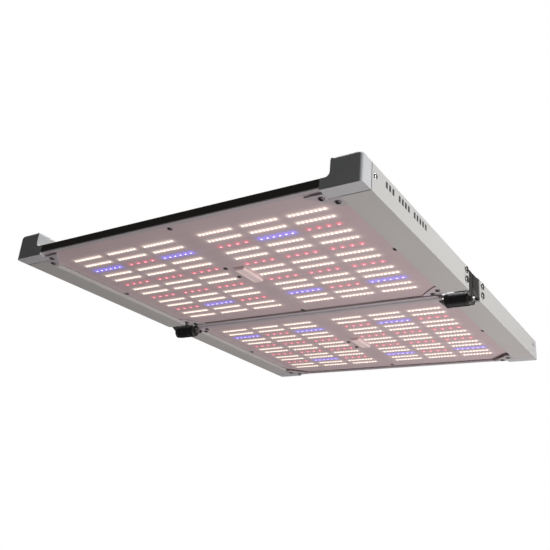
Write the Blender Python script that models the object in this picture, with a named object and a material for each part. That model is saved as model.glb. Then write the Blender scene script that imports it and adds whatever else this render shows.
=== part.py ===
"""Folding two-panel LED grow light, hung from four lugs. Metres, +Z up.

The origin is the middle of the four hanging eyes. The front panel lies on the -Y side of the
seam, the rear panel on the +Y side, and the LEDs face down. The rear panel folds down about a
pair of friction hinges until the two LED faces meet. Heights are counted from the LED boards'
face, and the whole lamp is then placed below the eyes.
"""

import math

import bmesh
import bpy
from mathutils import Matrix, Vector

LEFT, RIGHT = -1, 1
FRONT, REAR = -1, 1
PANELS = {"front": FRONT, "rear": REAR}
SIDES = {"left": LEFT, "right": RIGHT}
GAP = 0.0003

# Frame of one panel. Distances along Y are counted from the seam.
HALF_WIDTH = 0.2795
HALF_DEPTH = 0.364
FRAME_LOW = -0.006
FRAME_HEIGHT = 0.038
FRAME_TOP = FRAME_LOW + FRAME_HEIGHT
RAIL_WIDTH = 0.0375
RAIL_INNER = HALF_WIDTH - RAIL_WIDTH
RAIL_WALL = 0.002
RAIL_OUTER_RADIUS = 0.006
RAIL_INNER_RADIUS = 0.004
RAIL_SEAM_END = 0.0246
CAP_DEPTH = 0.021
RAIL_CAP_END = HALF_DEPTH - CAP_DEPTH

# Corner end caps
CAP_FOOT_INNER = 0.228
CAP_RAISED_INNER = 0.240
CAP_FOOT_TOP = 0.0085
CAP_FILLET = 0.006
CAP_EDGE_RADIUS = 0.004
CAP_LOW_RADIUS = 0.0028
TAB_THICKNESS = 0.0025
TAB_INNER = 0.203
TAB_BACK = 0.322
TAB_NARROW = 0.234
TAB_CHAMFER_END = 0.3535
TAB_END = 0.3545
TAB_SCREWS = ((0.235, 0.3326), (0.2215, 0.3465))
SPIGOT_LENGTH = 0.016

# Edge bars
BAR_LOW = -0.0032
BAR_CHAMFER = 0.001
BAR_RIM = 0.009
BAR_WALL = 0.002
SEAM_EDGE = 0.001
SEAM_RIM = 0.0095
SLOT_TOP = 0.0046

# Boards and plates
BOARD_HALF_WIDTH = 0.2415
BOARD_THICKNESS = 0.0016
BOARD_SEAM_END = 0.008
BOARD_OUTER_END = 0.3595
PANEL_MIDDLE = 0.1805
BOARD_SCREWS = ((0, 0.345), (0, 0.0136), (0.236, PANEL_MIDDLE), (-0.236, PANEL_MIDDLE))
COVER_SCREW_X = -0.013
COVER_SCREW_STEPS = (0.0055, 0.0285)
COVER_LOW = (0.001, -0.025, -0.0048)
COVER_HIGH = (0.017, 0.025, -GAP)
PLATE_LOW = BOARD_THICKNESS + GAP
PLATE_THICKNESS = 0.002
PLATE_TOP = PLATE_LOW + PLATE_THICKNESS
FLANGE_TOP = 0.016
FLANGE_THICKNESS = 0.0015
FLANGE_ENDS = (0.027, 0.341)

# Gussets, lying on the boards
GUSSET_START = 0.0113
GUSSET_END = 0.041
GUSSET_NARROW = 0.234
GUSSET_INNER = 0.2075
GUSSET_CHAMFER_START = 0.0148
GUSSET_THICKNESS = 0.0015
GUSSET_SCREWS = ((0.235, 0.028), (0.224, 0.0172))

# LED groups
LED_ROWS = 14
ROW_PITCH = 0.02054
FIRST_ROW = 0.0476
LED_COLUMNS = (-0.1839, -0.1159, -0.0479, 0.0479, 0.1159, 0.1839)
LED_PROUD = 0.0009
LED_CHIP = 0.003
ROW_KINDS = "WWCWWCWWCWWCWW"
WHITE_SPAN = 0.0476 + LED_CHIP
RED_SPAN = 0.0414 + LED_CHIP
BLUE_SPAN = 0.0468 + LED_CHIP

# Hinge
PIVOT_HEIGHT = -0.0092
LEAF_OUTER = HALF_WIDTH - RAIL_WALL - GAP
LEAF_THICKNESS = 0.0025
LEAF_LENGTH = 0.046
LEAF_TOP = 0.029
LEAF_TOP_IN_RAIL = 0.0245
LEAF_LOW = -0.002
LEAF_EDGE = 0.0015
LUG_RADIUS = 0.0102
BARREL_RADIUS = 0.01075
BARREL_LENGTH = 0.0245
COLLAR_LENGTH = 0.0103
COLLAR_CHAMFER = 0.0018
COLLAR_GROOVE = 0.0008
COLLAR_GROOVE_WIDTH = 0.0012
BOLT_RADIUS = 0.003
BOLT_HEAD_RADIUS = 0.007
BOLT_DOME_RADIUS = 0.0052
BOLT_TOP_RADIUS = 0.0036
BOLT_SOCKET_RADIUS = 0.002
BOLT_HEAD_LEVELS = (0.0008, 0.0012, 0.003)
NUT_RADIUS = 0.0056
NUT_HEIGHT = 0.0042
BOLT_PAST_NUT = 0.002
PLATE_CORNER = ((LEAF_EDGE, 0.007), (0.0135, 0.002), (0.018, LEAF_LOW))
LUG_NECK_START = (0.002, 0.014)
LUG_NECK = ((0.016, 0.006), (0.016, 0.014))
LUG_PAD = ((0.0035, 0.0085), (0.0035, 0.0135), (0.0155, 0.0135), (0.0155, 0.0085))

# Hangers
HANGER_Y = 0.240
HANGER_PLATE_OUTER = 0.2585
HANGER_PLATE = 0.0025
HANGER_FOOT_INNER = 0.2455
HANGER_WIDTH = 0.024
HANGER_SCREW_X = 0.2505
HANGER_SCREW_STEPS = (-0.007, 0.007)
HANGER_BASE = FRAME_TOP + GAP
EYE_ABOVE_BASE = 0.0115
EYE_ABOVE_CROWN = 0.0035
EYE_RADIUS = 0.005
EYE_HEIGHT = HANGER_BASE + EYE_ABOVE_BASE

# Driver on top of the front panel
DRIVER_CENTRE_Y = -0.180
DRIVER_HALF_LENGTH = 0.118
DRIVER_HALF_WIDTH = 0.038
DRIVER_LOW = 0.022
DRIVER_TOP = 0.064
DRIVER_WALL = 0.002
DRIVER_COVER = 0.004
DRIVER_CORNER = 0.005
CIRCUIT_INSET = 0.006
CIRCUIT_THICKNESS = 0.0016
CIRCUIT_PARTS = (
    (-0.070, 0.0, 0.024, 0.022),
    (-0.025, 0.008, 0.016, 0.018),
    (0.020, -0.006, 0.020, 0.024),
    (0.065, 0.006, 0.014, 0.020),
)
CHANNEL_WEB = 0.106
CHANNEL_REACH = 0.090
CHANNEL_WALL = 0.002
CHANNEL_INSET = 0.004
GLANDS = {"front_outlet": -0.020, "rear_outlet": 0.0, "mains": 0.020}
GLAND_PROFILE = (
    (0, GAP),
    (0.0075, GAP),
    (0.0075, 0.0045),
    (0.0062, 0.0045),
    (0.0062, 0.0105),
    (0.0045, 0.0128),
    (0.0028, 0.0128),
    (0.0028, 0.0112),
    (0, 0.0112),
)
INLET_GLAND = (-0.06, 0.06)
KNOB_Y = DRIVER_CENTRE_Y + 0.018
KNOB_HEIGHT = 0.043
KNOB_RADIUS = 0.009
KNOB_LENGTH = 0.014
KNOB_SHAFT_RADIUS = 0.003
KNOB_SHAFT_LENGTH = 0.006
KNOB_STAND_OFF = 0.0008
KNOB_CHAMFER = 0.0015
POINTER_HALF = 0.0008

# Screws
PANEL_HOLE = 0.0018
FRAME_HOLE = 0.0021
SCREW_SHANK = FRAME_HOLE - GAP
SCREW_HEAD = 0.0054
SCREW_HEIGHT = 0.0023
SCREW_LENGTH = 0.009
CAP_SCREW = (RAIL_CAP_END - 0.008, 0.0135)
LEAF_SCREWS = ((0.036, 0.021), (0.036, 0.006))
ROUND_SIDES = 12

HANG = Vector((0, 0, -EYE_HEIGHT))


def material(name, colour, roughness, metallic):
    """A Principled material of one colour."""
    made = bpy.data.materials.new(name)
    made.use_nodes = True
    shader = made.node_tree.nodes["Principled BSDF"]
    shader.inputs["Base Color"].default_value = (*colour, 1)
    shader.inputs["Roughness"].default_value = roughness
    shader.inputs["Metallic"].default_value = metallic
    return made


def make_materials():
    """The finishes, by name."""
    return {
        "rail_paint": material("rail_paint", (0.58, 0.57, 0.55), 0.42, 0.3),
        "cap_plastic": material("cap_plastic", (0.60, 0.62, 0.64), 0.45, 0.0),
        "bar_black": material("bar_black", (0.02, 0.02, 0.018), 0.4, 0.5),
        "board_white": material("board_white", (0.70, 0.68, 0.68), 0.5, 0.0),
        "plate_aluminium": material("plate_aluminium", (0.66, 0.67, 0.68), 0.4, 1.0),
        "cover_plastic": material("cover_plastic", (0.78, 0.70, 0.68), 0.5, 0.0),
        "leaf_steel": material("leaf_steel", (0.10, 0.10, 0.10), 0.35, 0.8),
        "barrel_black": material("barrel_black", (0.012, 0.012, 0.012), 0.35, 0.2),
        "screw_steel": material("screw_steel", (0.60, 0.60, 0.60), 0.25, 1.0),
        "screw_dark": material("screw_dark", (0.10, 0.09, 0.09), 0.35, 0.9),
        "driver_paint": material("driver_paint", (0.09, 0.09, 0.10), 0.5, 0.4),
        "gland_plastic": material("gland_plastic", (0.02, 0.02, 0.02), 0.5, 0.0),
        "circuit_green": material("circuit_green", (0.05, 0.22, 0.10), 0.5, 0.0),
    }


def clear_scene():
    """Removes whatever the scene holds."""
    for obj in list(bpy.data.objects):
        bpy.data.objects.remove(obj)


def make_object(name, bm, finish, parent=None, smooth=False):
    """Turns a bmesh into an object, placed below the hanging eyes."""
    bmesh.ops.recalc_face_normals(bm, faces=bm.faces)
    mesh = bpy.data.meshes.new(name)
    bm.to_mesh(mesh)
    bm.free()
    if smooth:
        mesh.shade_smooth()
        mesh.set_sharp_from_angle(angle=math.radians(35))
    if finish:
        mesh.materials.append(finish)
    obj = bpy.data.objects.new(name, mesh)
    obj.location = HANG
    bpy.context.collection.objects.link(obj)
    if parent:
        obj.parent = parent
        obj.matrix_parent_inverse = Matrix.Translation(-parent.location)
    return obj


def make_pivot(name, place):
    """An empty on a joint's axis, for the pieces that turn about it."""
    pivot = bpy.data.objects.new(name, None)
    pivot.location = HANG + Vector(place)
    bpy.context.collection.objects.link(pivot)
    return pivot


def in_space(pair, axis, along):
    """The point whose two other coordinates are pair, in X, Y, Z order."""
    first, second = pair
    return {
        "X": Vector((along, first, second)),
        "Y": Vector((first, along, second)),
        "Z": Vector((first, second, along)),
    }[axis]


def sweep(bm, faces, axis, length):
    """Extrudes flat faces along one axis into a solid."""
    swept = bmesh.ops.extrude_face_region(bm, geom=faces)["geom"]
    verts = [item for item in swept if isinstance(item, bmesh.types.BMVert)]
    bmesh.ops.translate(bm, verts=verts, vec=in_space((0, 0), axis, length))


def add_prism(bm, outline, axis, low, high):
    """Adds an outline swept from low to high along one axis."""
    verts = [bm.verts.new(in_space(pair, axis, low)) for pair in outline]
    sweep(bm, [bm.faces.new(verts)], axis, high - low)


def add_tube(bm, outer, inner, axis, low, high):
    """Adds the wall between two outlines of the same number of points."""
    loops = [[bm.verts.new(in_space(pair, axis, low)) for pair in line] for line in (outer, inner)]
    count = len(outer)
    faces = []
    for i in range(count):
        j = (i + 1) % count
        faces.append(bm.faces.new((loops[0][i], loops[0][j], loops[1][j], loops[1][i])))
    sweep(bm, faces, axis, high - low)


def add_box(bm, low, high):
    """Adds a box between two corners."""
    outline = [(low[0], low[1]), (high[0], low[1]), (high[0], high[1]), (low[0], high[1])]
    add_prism(bm, outline, "Z", low[2], high[2])


def add_turned(bm, profile, centre, axis, sides):
    """Adds a profile of (radius, distance along the axis) turned about that axis through centre."""
    along = Vector(axis)
    across = along.orthogonal().normalized()
    points = [Vector(centre) + across * radius + along * step for radius, step in profile]
    verts = [bm.verts.new(point) for point in points]
    edges = [bm.edges.new(pair) for pair in zip(verts, verts[1:])]
    bmesh.ops.spin(
        bm, geom=verts + edges, cent=centre, axis=along, angle=math.tau, steps=sides, use_merge=True
    )
    bmesh.ops.remove_doubles(bm, verts=bm.verts, dist=1e-5)


def arc(centre, radius, start, end, steps):
    """Points on an arc, from start to end in degrees."""
    angles = [math.radians(start + (end - start) * i / steps) for i in range(steps + 1)]
    return [(centre[0] + radius * math.cos(a), centre[1] + radius * math.sin(a)) for a in angles]


def flip(outline, x_sign=1, y_sign=1):
    """An outline mirrored in its first and second coordinate."""
    return [(x_sign * first, y_sign * second) for first, second in outline]


def make_cutter(target, bm, operation="DIFFERENCE"):
    """Joins or cuts a target with a hidden helper solid."""
    number = len(target.modifiers) + 1
    helper = make_object(f"{target.name}_helper_{number}", bm, None)
    helper.hide_render = True
    helper.display_type = "WIRE"
    boolean = target.modifiers.new(f"boolean_{number}", "BOOLEAN")
    boolean.operation = operation
    boolean.object = helper


def cut_holes(target, points, axis, radius, reach):
    """Drills round holes through a target, centred on the points, reaching both ways along axis."""
    bm = bmesh.new()
    for point in points:
        profile = [(0, -reach), (radius, -reach), (radius, reach), (0, reach)]
        add_turned(bm, profile, Vector(point), axis, ROUND_SIDES)
    make_cutter(target, bm)


def rail_outline(inset):
    """A rail's section in X and height, on the right side, moved inwards by inset."""
    outer = RAIL_OUTER_RADIUS - inset
    inner = RAIL_INNER_RADIUS - inset
    low, top = FRAME_LOW + inset, FRAME_TOP - inset
    left, right = RAIL_INNER + inset, HALF_WIDTH - inset
    return [
        (left, low),
        (right, low),
        *arc((right - outer, top - outer), outer, 0, 90, 6),
        *arc((left + inner, top - inner), inner, 90, 180, 4),
    ]


def side_screw_places(panel, side):
    """Where the screws sit on a rail's outer wall: one holds the cap, two the hinge leaf."""
    return [(side * HALF_WIDTH, panel * y, z) for y, z in (CAP_SCREW, *LEAF_SCREWS)]


def make_rails(finishes, fold):
    """Four hollow side rails."""
    for panel_name, panel in PANELS.items():
        for side_name, side in SIDES.items():
            bm = bmesh.new()
            outer = flip(rail_outline(0), x_sign=side)
            inner = flip(rail_outline(RAIL_WALL), x_sign=side)
            low = panel * RAIL_SEAM_END
            high = panel * (RAIL_CAP_END - GAP)
            add_tube(bm, outer, inner, "Y", low, high)
            parent = fold if panel == REAR else None
            name = f"{panel_name}_{side_name}_rail"
            rail = make_object(name, bm, finishes["rail_paint"], parent, smooth=True)
            cut_holes(rail, side_screw_places(panel, side), (1, 0, 0), FRAME_HOLE, 0.004)
            cut_holes(rail, hanger_screw_places(panel, side), (0, 0, 1), FRAME_HOLE, 0.004)


def cap_outline():
    """An end cap's front outline in X and height, on the right side."""
    outer, inner = RAIL_OUTER_RADIUS, RAIL_INNER_RADIUS
    return [
        (CAP_FOOT_INNER, FRAME_LOW),
        (HALF_WIDTH, FRAME_LOW),
        *arc((HALF_WIDTH - outer, FRAME_TOP - outer), outer, 0, 90, 6),
        *arc((CAP_RAISED_INNER + inner, FRAME_TOP - inner), inner, 90, 180, 4),
        *arc((CAP_RAISED_INNER - CAP_FILLET, CAP_FOOT_TOP + CAP_FILLET), CAP_FILLET, 0, -90, 5),
        (CAP_FOOT_INNER, CAP_FOOT_TOP),
    ]


def tab_outline():
    """The triangular tab under a board's outer corner, in X and distance from the seam."""
    return [
        (RAIL_INNER - GAP, RAIL_CAP_END + 0.001),
        (RAIL_INNER - GAP, TAB_BACK),
        (TAB_NARROW, TAB_BACK),
        (TAB_INNER, TAB_CHAMFER_END),
        (TAB_INNER, TAB_END),
        (CAP_FOOT_INNER + 0.001, TAB_END),
        (CAP_FOOT_INNER + 0.001, RAIL_CAP_END + 0.001),
    ]


def tab_screw_places(panel, side):
    """The two screws of an end cap's tab."""
    return [(side * x, panel * y, FRAME_LOW) for x, y in TAB_SCREWS]


def round_front_edges(bm, panel):
    """Rounds the end cap's outer end along its lower, outer and upper edges."""
    end = panel * HALF_DEPTH
    edges = []
    low_edges = []
    for edge in bm.edges:
        ends = [vert.co for vert in edge.verts]
        at_end = all(abs(point.y - end) < 1e-6 for point in ends)
        upper = all(point.z > FRAME_LOW + 1e-6 for point in ends)
        low = all(point.z < FRAME_LOW + 1e-6 for point in ends)
        outer = all(abs(abs(point.x) - HALF_WIDTH) < 1e-6 for point in ends)
        raised = all(abs(point.x) > CAP_RAISED_INNER - 1e-6 for point in ends)
        if at_end and raised and (upper or outer) and not is_cap_fillet(ends):
            edges.append(edge)
        if at_end and low:
            low_edges.append(edge)
    for chosen, radius, steps in ((edges, CAP_EDGE_RADIUS, 4), (low_edges, CAP_LOW_RADIUS, 3)):
        chosen = [edge for edge in chosen if edge.is_valid]
        bmesh.ops.bevel(bm, geom=chosen, offset=radius, segments=steps, profile=0.5, affect="EDGES")


def is_cap_fillet(ends):
    """True for the inner side of the raised part, whose edge stays crisp."""
    return all(abs(point.x) < CAP_RAISED_INNER + RAIL_INNER_RADIUS - 1e-6 for point in ends)


def make_end_caps(finishes, fold):
    """Four moulded caps over the rails' outer ends, each with a spigot and a corner tab."""
    for panel_name, panel in PANELS.items():
        for side_name, side in SIDES.items():
            bm = bmesh.new()
            low, high = panel * RAIL_CAP_END, panel * HALF_DEPTH
            add_prism(bm, flip(cap_outline(), x_sign=side), "Y", low, high)
            round_front_edges(bm, panel)
            parent = fold if panel == REAR else None
            cap = make_object(
                f"{panel_name}_{side_name}_end_cap", bm, finishes["cap_plastic"], parent, smooth=True
            )
            tab = bmesh.new()
            outline = flip(tab_outline(), side, panel)
            add_prism(tab, outline, "Z", FRAME_LOW, FRAME_LOW + TAB_THICKNESS)
            make_cutter(cap, tab, "UNION")
            spigot = bmesh.new()
            inset = RAIL_WALL + 2 * GAP
            add_prism(
                spigot,
                flip(rail_outline(inset), x_sign=side),
                "Y",
                panel * (RAIL_CAP_END - SPIGOT_LENGTH),
                panel * (RAIL_CAP_END + 0.002),
            )
            make_cutter(cap, spigot, "UNION")
            cut_holes(cap, side_screw_places(panel, side)[:1], (1, 0, 0), FRAME_HOLE, 0.013)
            cut_holes(cap, tab_screw_places(panel, side), (0, 0, 1), PANEL_HOLE, 0.004)


def bar_outline(edge, rim, toward):
    """An edge bar's section in distance from the seam and height: a face, a rim below and a slot.

    edge is the outer face, toward the way in to the board (-1 or 1).
    """
    inner = edge + toward * rim
    wall = edge + toward * BAR_WALL
    return [
        (edge, BAR_LOW + BAR_CHAMFER),
        (edge + toward * BAR_CHAMFER, BAR_LOW),
        (inner, BAR_LOW),
        (inner, -GAP),
        (wall, -GAP),
        (wall, SLOT_TOP),
        (inner, SLOT_TOP),
        (inner, CAP_FOOT_TOP),
        (edge, CAP_FOOT_TOP),
    ]


def make_edge_bars(finishes, fold):
    """The dark bar along each panel's outer edge, and the pale one along the seam."""
    half = CAP_FOOT_INNER - GAP
    for panel_name, panel in PANELS.items():
        parent = fold if panel == REAR else None
        for place, outline, finish in (
            ("outer_edge_bar", bar_outline(HALF_DEPTH, BAR_RIM, -1), "bar_black"),
            ("seam_bar", bar_outline(SEAM_EDGE, SEAM_RIM, 1), "rail_paint"),
        ):
            bm = bmesh.new()
            add_prism(bm, flip(outline, x_sign=panel), "X", -half, half)
            make_object(f"{panel_name}_{place}", bm, finishes[finish], parent)


def panel_outline(panel):
    """A board's outline in X and Y, notched at its outer corners for the end caps."""
    wide, narrow = BOARD_HALF_WIDTH, CAP_FOOT_INNER - 2 * GAP
    notch = RAIL_CAP_END - 2 * GAP
    half = [
        (wide, BOARD_SEAM_END),
        (wide, notch),
        (narrow, notch),
        (narrow, BOARD_OUTER_END),
    ]
    mirrored = [(-x, y) for x, y in reversed(half)]
    return flip(half + mirrored, y_sign=panel)


def board_screw_places(panel):
    """The screws that hold a board to its plate."""
    near, far = COVER_SCREW_STEPS
    beside_cover = [
        (COVER_SCREW_X, PANEL_MIDDLE - near * panel),
        (COVER_SCREW_X, PANEL_MIDDLE + far * panel),
    ]
    return [(x, panel * y, 0) for x, y in [*BOARD_SCREWS, *beside_cover]]


def make_boards(finishes, fold):
    """LED boards, and the back plates that they are screwed to."""
    for panel_name, panel in PANELS.items():
        parent = fold if panel == REAR else None
        holes = board_screw_places(panel)
        bm = bmesh.new()
        add_prism(bm, panel_outline(panel), "Z", 0, BOARD_THICKNESS)
        board = make_object(f"{panel_name}_led_board", bm, finishes["board_white"], parent)
        add_led_strips(board, panel)
        cut_holes(board, holes, (0, 0, 1), PANEL_HOLE, 0.01)
        bm = bmesh.new()
        add_prism(bm, panel_outline(panel), "Z", PLATE_LOW, PLATE_TOP)
        plate = make_object(f"{panel_name}_back_plate", bm, finishes["plate_aluminium"], parent)
        flanges = bmesh.new()
        for side in SIDES.values():
            outer, inner = BOARD_HALF_WIDTH, BOARD_HALF_WIDTH - FLANGE_THICKNESS
            near, far = FLANGE_ENDS
            outline = [(outer, near), (outer, far), (inner, far), (inner, near)]
            add_prism(flanges, flip(outline, side, panel), "Z", PLATE_TOP - 0.001, FLANGE_TOP)
        make_cutter(plate, flanges, "UNION")
        cut_holes(plate, holes, (0, 0, 1), PANEL_HOLE, 0.01)


def led_colour(kind, row, column):
    """The colour of one LED group. Rows of colour mix red groups with blue ones."""
    if kind == "W":
        return "white"
    if row == 2:
        return "blue" if column % 2 == 0 else "red"
    if row == 11:
        return "red" if column % 2 == 0 else "blue"
    return "red"


def led_groups(panel):
    """Each LED group of a panel as (colour, x, y), from its -Y row on."""
    start = -FIRST_ROW - (LED_ROWS - 1) * ROW_PITCH if panel == FRONT else FIRST_ROW
    for row, kind in enumerate(ROW_KINDS):
        for column, x in enumerate(LED_COLUMNS):
            yield led_colour(kind, row, column), x, start + row * ROW_PITCH


def add_led_strips(board, panel):
    """Joins one raised strip for each group of LEDs to its board."""
    spans = {"white": WHITE_SPAN, "red": RED_SPAN, "blue": BLUE_SPAN}
    bm = bmesh.new()
    for colour, x, y in led_groups(panel):
        half = Vector((spans[colour] / 2, LED_CHIP / 2, 0))
        low, high = Vector((x, y, -LED_PROUD)), Vector((x, y, BOARD_THICKNESS / 3))
        add_box(bm, low - half, high + half)
    make_cutter(board, bm, "UNION")


def make_wire_covers(finishes, fold):
    """The pale block over the wires' soldered ends in the middle of each board."""
    for panel_name, panel in PANELS.items():
        parent = fold if panel == REAR else None
        bm = bmesh.new()
        middle = Vector((0, panel * PANEL_MIDDLE, 0))
        add_box(bm, middle + Vector(COVER_LOW), middle + Vector(COVER_HIGH))
        cover = make_object(f"{panel_name}_wire_cover", bm, finishes["cover_plastic"], parent)
        bevel = cover.modifiers.new("bevel", "BEVEL")
        bevel.width = 0.0012
        bevel.segments = 2


def gusset_outline():
    """The plate across a panel's seam-side corner, in X and distance from the seam."""
    return [
        (RAIL_INNER - GAP, GUSSET_START),
        (RAIL_INNER - GAP, GUSSET_END),
        (GUSSET_NARROW, GUSSET_END),
        (GUSSET_INNER, GUSSET_CHAMFER_START),
        (GUSSET_INNER, GUSSET_START),
    ]


def gusset_screw_places(panel, side):
    """The two screws of a seam gusset."""
    return [(side * x, panel * y, -GAP) for x, y in GUSSET_SCREWS]


def make_gussets(finishes, fold):
    """Four plates across the seam-side corners."""
    for panel_name, panel in PANELS.items():
        for side_name, side in SIDES.items():
            parent = fold if panel == REAR else None
            bm = bmesh.new()
            outline = flip(gusset_outline(), side, panel)
            add_prism(bm, outline, "Z", -GAP - GUSSET_THICKNESS, -GAP)
            name = f"{panel_name}_{side_name}_gusset"
            gusset = make_object(name, bm, finishes["board_white"], parent)
            holes = gusset_screw_places(panel, side)
            cut_holes(gusset, holes, (0, 0, 1), PANEL_HOLE, 0.004)


def make_leaf_screws(finishes, fold):
    """The pan-head screws that hold each hinge leaf in its rail."""
    profile = [
        (0, -SCREW_LENGTH),
        (SCREW_SHANK, -SCREW_LENGTH),
        (SCREW_SHANK, GAP),
        (SCREW_HEAD, GAP),
        (SCREW_HEAD, GAP + SCREW_HEIGHT * 0.4),
        (SCREW_HEAD * 0.7, GAP + SCREW_HEIGHT),
        (0, GAP + SCREW_HEIGHT),
    ]
    for panel_name, panel in PANELS.items():
        parent = fold if panel == REAR else None
        for side_name, side in SIDES.items():
            places = side_screw_places(panel, side)[1:]
            for level, place in zip(("upper", "lower"), places):
                bm = bmesh.new()
                add_turned(bm, profile, Vector(place), (side, 0, 0), ROUND_SIDES)
                name = f"{panel_name}_{side_name}_{level}_leaf_screw"
                make_object(name, bm, finishes["screw_steel"], parent, smooth=True)


def pivot_arc(radius, start, end, steps):
    """Points about the fold axis, in distance from the seam and height."""
    return arc((0, PIVOT_HEIGHT), radius, start, end, steps)


def leaf_plate_outline():
    """A leaf inside its rail's end, taller where it stands clear of the rail."""
    clear = RAIL_SEAM_END - 2 * GAP
    return [
        (LEAF_LENGTH, LEAF_LOW),
        (LEAF_LENGTH, LEAF_TOP_IN_RAIL),
        (clear, LEAF_TOP_IN_RAIL),
        (clear, LEAF_TOP),
        (LEAF_EDGE, LEAF_TOP),
    ]


def fixed_leaf_outline():
    """The fixed leaf: a plate inside the rail's end, with its lug about the pivot."""
    meets = math.degrees(math.acos(LEAF_EDGE / LUG_RADIUS))
    lug = pivot_arc(LUG_RADIUS, meets, 360, 14)
    return [*leaf_plate_outline(), *lug, (RAIL_SEAM_END, LEAF_LOW)]


def moving_leaf_outline():
    """The moving leaf's plate, which keeps clear of the fixed leaf's lug."""
    return [*leaf_plate_outline(), *PLATE_CORNER]


def moving_lug_outline():
    """The moving leaf's lug, joggled inboard of the fixed one."""
    return [LUG_NECK_START, *pivot_arc(LUG_RADIUS, 100, 360, 14), *LUG_NECK]


def leaf_screw_places(panel, side):
    """The leaf's two screw holes, in line with those of the rail."""
    return [(side * (LEAF_OUTER - 0.001), y, z) for _, y, z in side_screw_places(panel, side)[1:]]


def make_hinges(finishes, fold):
    """Leaves, barrels, collars, bolts and nuts of the two friction hinges."""
    lug_inner = LEAF_OUTER - LEAF_THICKNESS
    moving_lug_inner = lug_inner - GAP - LEAF_THICKNESS
    barrel_outer = moving_lug_inner - GAP
    barrel_inner = barrel_outer - BARREL_LENGTH
    collar_outer = barrel_inner - GAP
    collar_inner = collar_outer - COLLAR_LENGTH
    steel = finishes["leaf_steel"]
    for side_name, side in SIDES.items():
        pivot = [(side * (lug_inner + 0.001), 0, PIVOT_HEIGHT)]
        outward = (side, 0, 0)

        bm = bmesh.new()
        outline = flip(fixed_leaf_outline(), x_sign=FRONT)
        add_prism(bm, outline, "X", side * lug_inner, side * LEAF_OUTER)
        leaf = make_object(f"{side_name}_hinge_fixed_leaf", bm, steel)
        cut_holes(leaf, leaf_screw_places(FRONT, side), outward, FRAME_HOLE, 0.006)
        cut_holes(leaf, pivot, outward, BOLT_RADIUS + GAP, 0.006)

        bm = bmesh.new()
        add_prism(bm, moving_leaf_outline(), "X", side * lug_inner, side * LEAF_OUTER)
        leaf = make_object(f"{side_name}_hinge_moving_leaf", bm, steel, fold)
        lug = bmesh.new()
        reach = lug_inner + 0.0004
        add_prism(lug, moving_lug_outline(), "X", side * moving_lug_inner, side * (lug_inner - GAP))
        make_cutter(leaf, lug, "UNION")
        bridge = bmesh.new()
        add_prism(bridge, LUG_PAD, "X", side * (moving_lug_inner + 0.001), side * reach)
        make_cutter(leaf, bridge, "UNION")
        cut_holes(leaf, leaf_screw_places(REAR, side), outward, FRAME_HOLE, 0.006)
        cut_holes(leaf, pivot, outward, BOLT_RADIUS + GAP, 0.006)

        axis_point = Vector((0, 0, PIVOT_HEIGHT))
        bore = BOLT_RADIUS + GAP
        barrel = [
            (bore, barrel_inner),
            (BARREL_RADIUS, barrel_inner),
            (BARREL_RADIUS, barrel_outer),
            (bore, barrel_outer),
            (bore, barrel_inner),
        ]
        bm = bmesh.new()
        add_turned(bm, barrel, axis_point, outward, 32)
        make_object(f"{side_name}_hinge_barrel", bm, finishes["barrel_black"], smooth=True)

        groove = collar_outer - COLLAR_GROOVE_WIDTH
        collar = [
            (bore, collar_inner),
            (BARREL_RADIUS - COLLAR_CHAMFER, collar_inner),
            (BARREL_RADIUS, collar_inner + COLLAR_CHAMFER),
            (BARREL_RADIUS, groove),
            (BARREL_RADIUS - COLLAR_GROOVE, groove),
            (BARREL_RADIUS - COLLAR_GROOVE, collar_outer),
            (bore, collar_outer),
            (bore, collar_inner),
        ]
        bm = bmesh.new()
        add_turned(bm, collar, axis_point, outward, 32)
        make_object(f"{side_name}_hinge_collar", bm, finishes["barrel_black"], smooth=True)

        under_head = LEAF_OUTER + GAP
        nut_inner = collar_inner - GAP - NUT_HEIGHT
        bolt_end = nut_inner - BOLT_PAST_NUT
        rim_level, dome_level, top_level = [under_head + step for step in BOLT_HEAD_LEVELS]
        bolt = [
            (0, bolt_end),
            (BOLT_RADIUS, bolt_end),
            (BOLT_RADIUS, under_head),
            (BOLT_HEAD_RADIUS, under_head),
            (BOLT_HEAD_RADIUS, rim_level),
            (BOLT_DOME_RADIUS, dome_level),
            (BOLT_TOP_RADIUS, top_level),
            (BOLT_SOCKET_RADIUS, top_level),
            (BOLT_SOCKET_RADIUS, dome_level),
            (0, dome_level),
        ]
        bm = bmesh.new()
        add_turned(bm, bolt, axis_point, outward, 24)
        make_object(f"{side_name}_hinge_bolt", bm, finishes["screw_dark"], smooth=True)
        nut_outer = collar_inner - GAP
        nut_bore = bore / math.cos(math.pi / 6)
        nut = [
            (nut_bore, nut_inner),
            (NUT_RADIUS, nut_inner),
            (NUT_RADIUS, nut_outer),
            (nut_bore, nut_outer),
            (nut_bore, nut_inner),
        ]
        bm = bmesh.new()
        add_turned(bm, nut, axis_point, outward, 6)
        make_object(f"{side_name}_hinge_nut", bm, finishes["screw_dark"])


def hanger_screw_places(panel, side):
    """The two screws of a hanger's foot, at the rail's top."""
    x = side * HANGER_SCREW_X
    return [(x, panel * HANGER_Y + step, FRAME_TOP) for step in HANGER_SCREW_STEPS]


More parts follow.
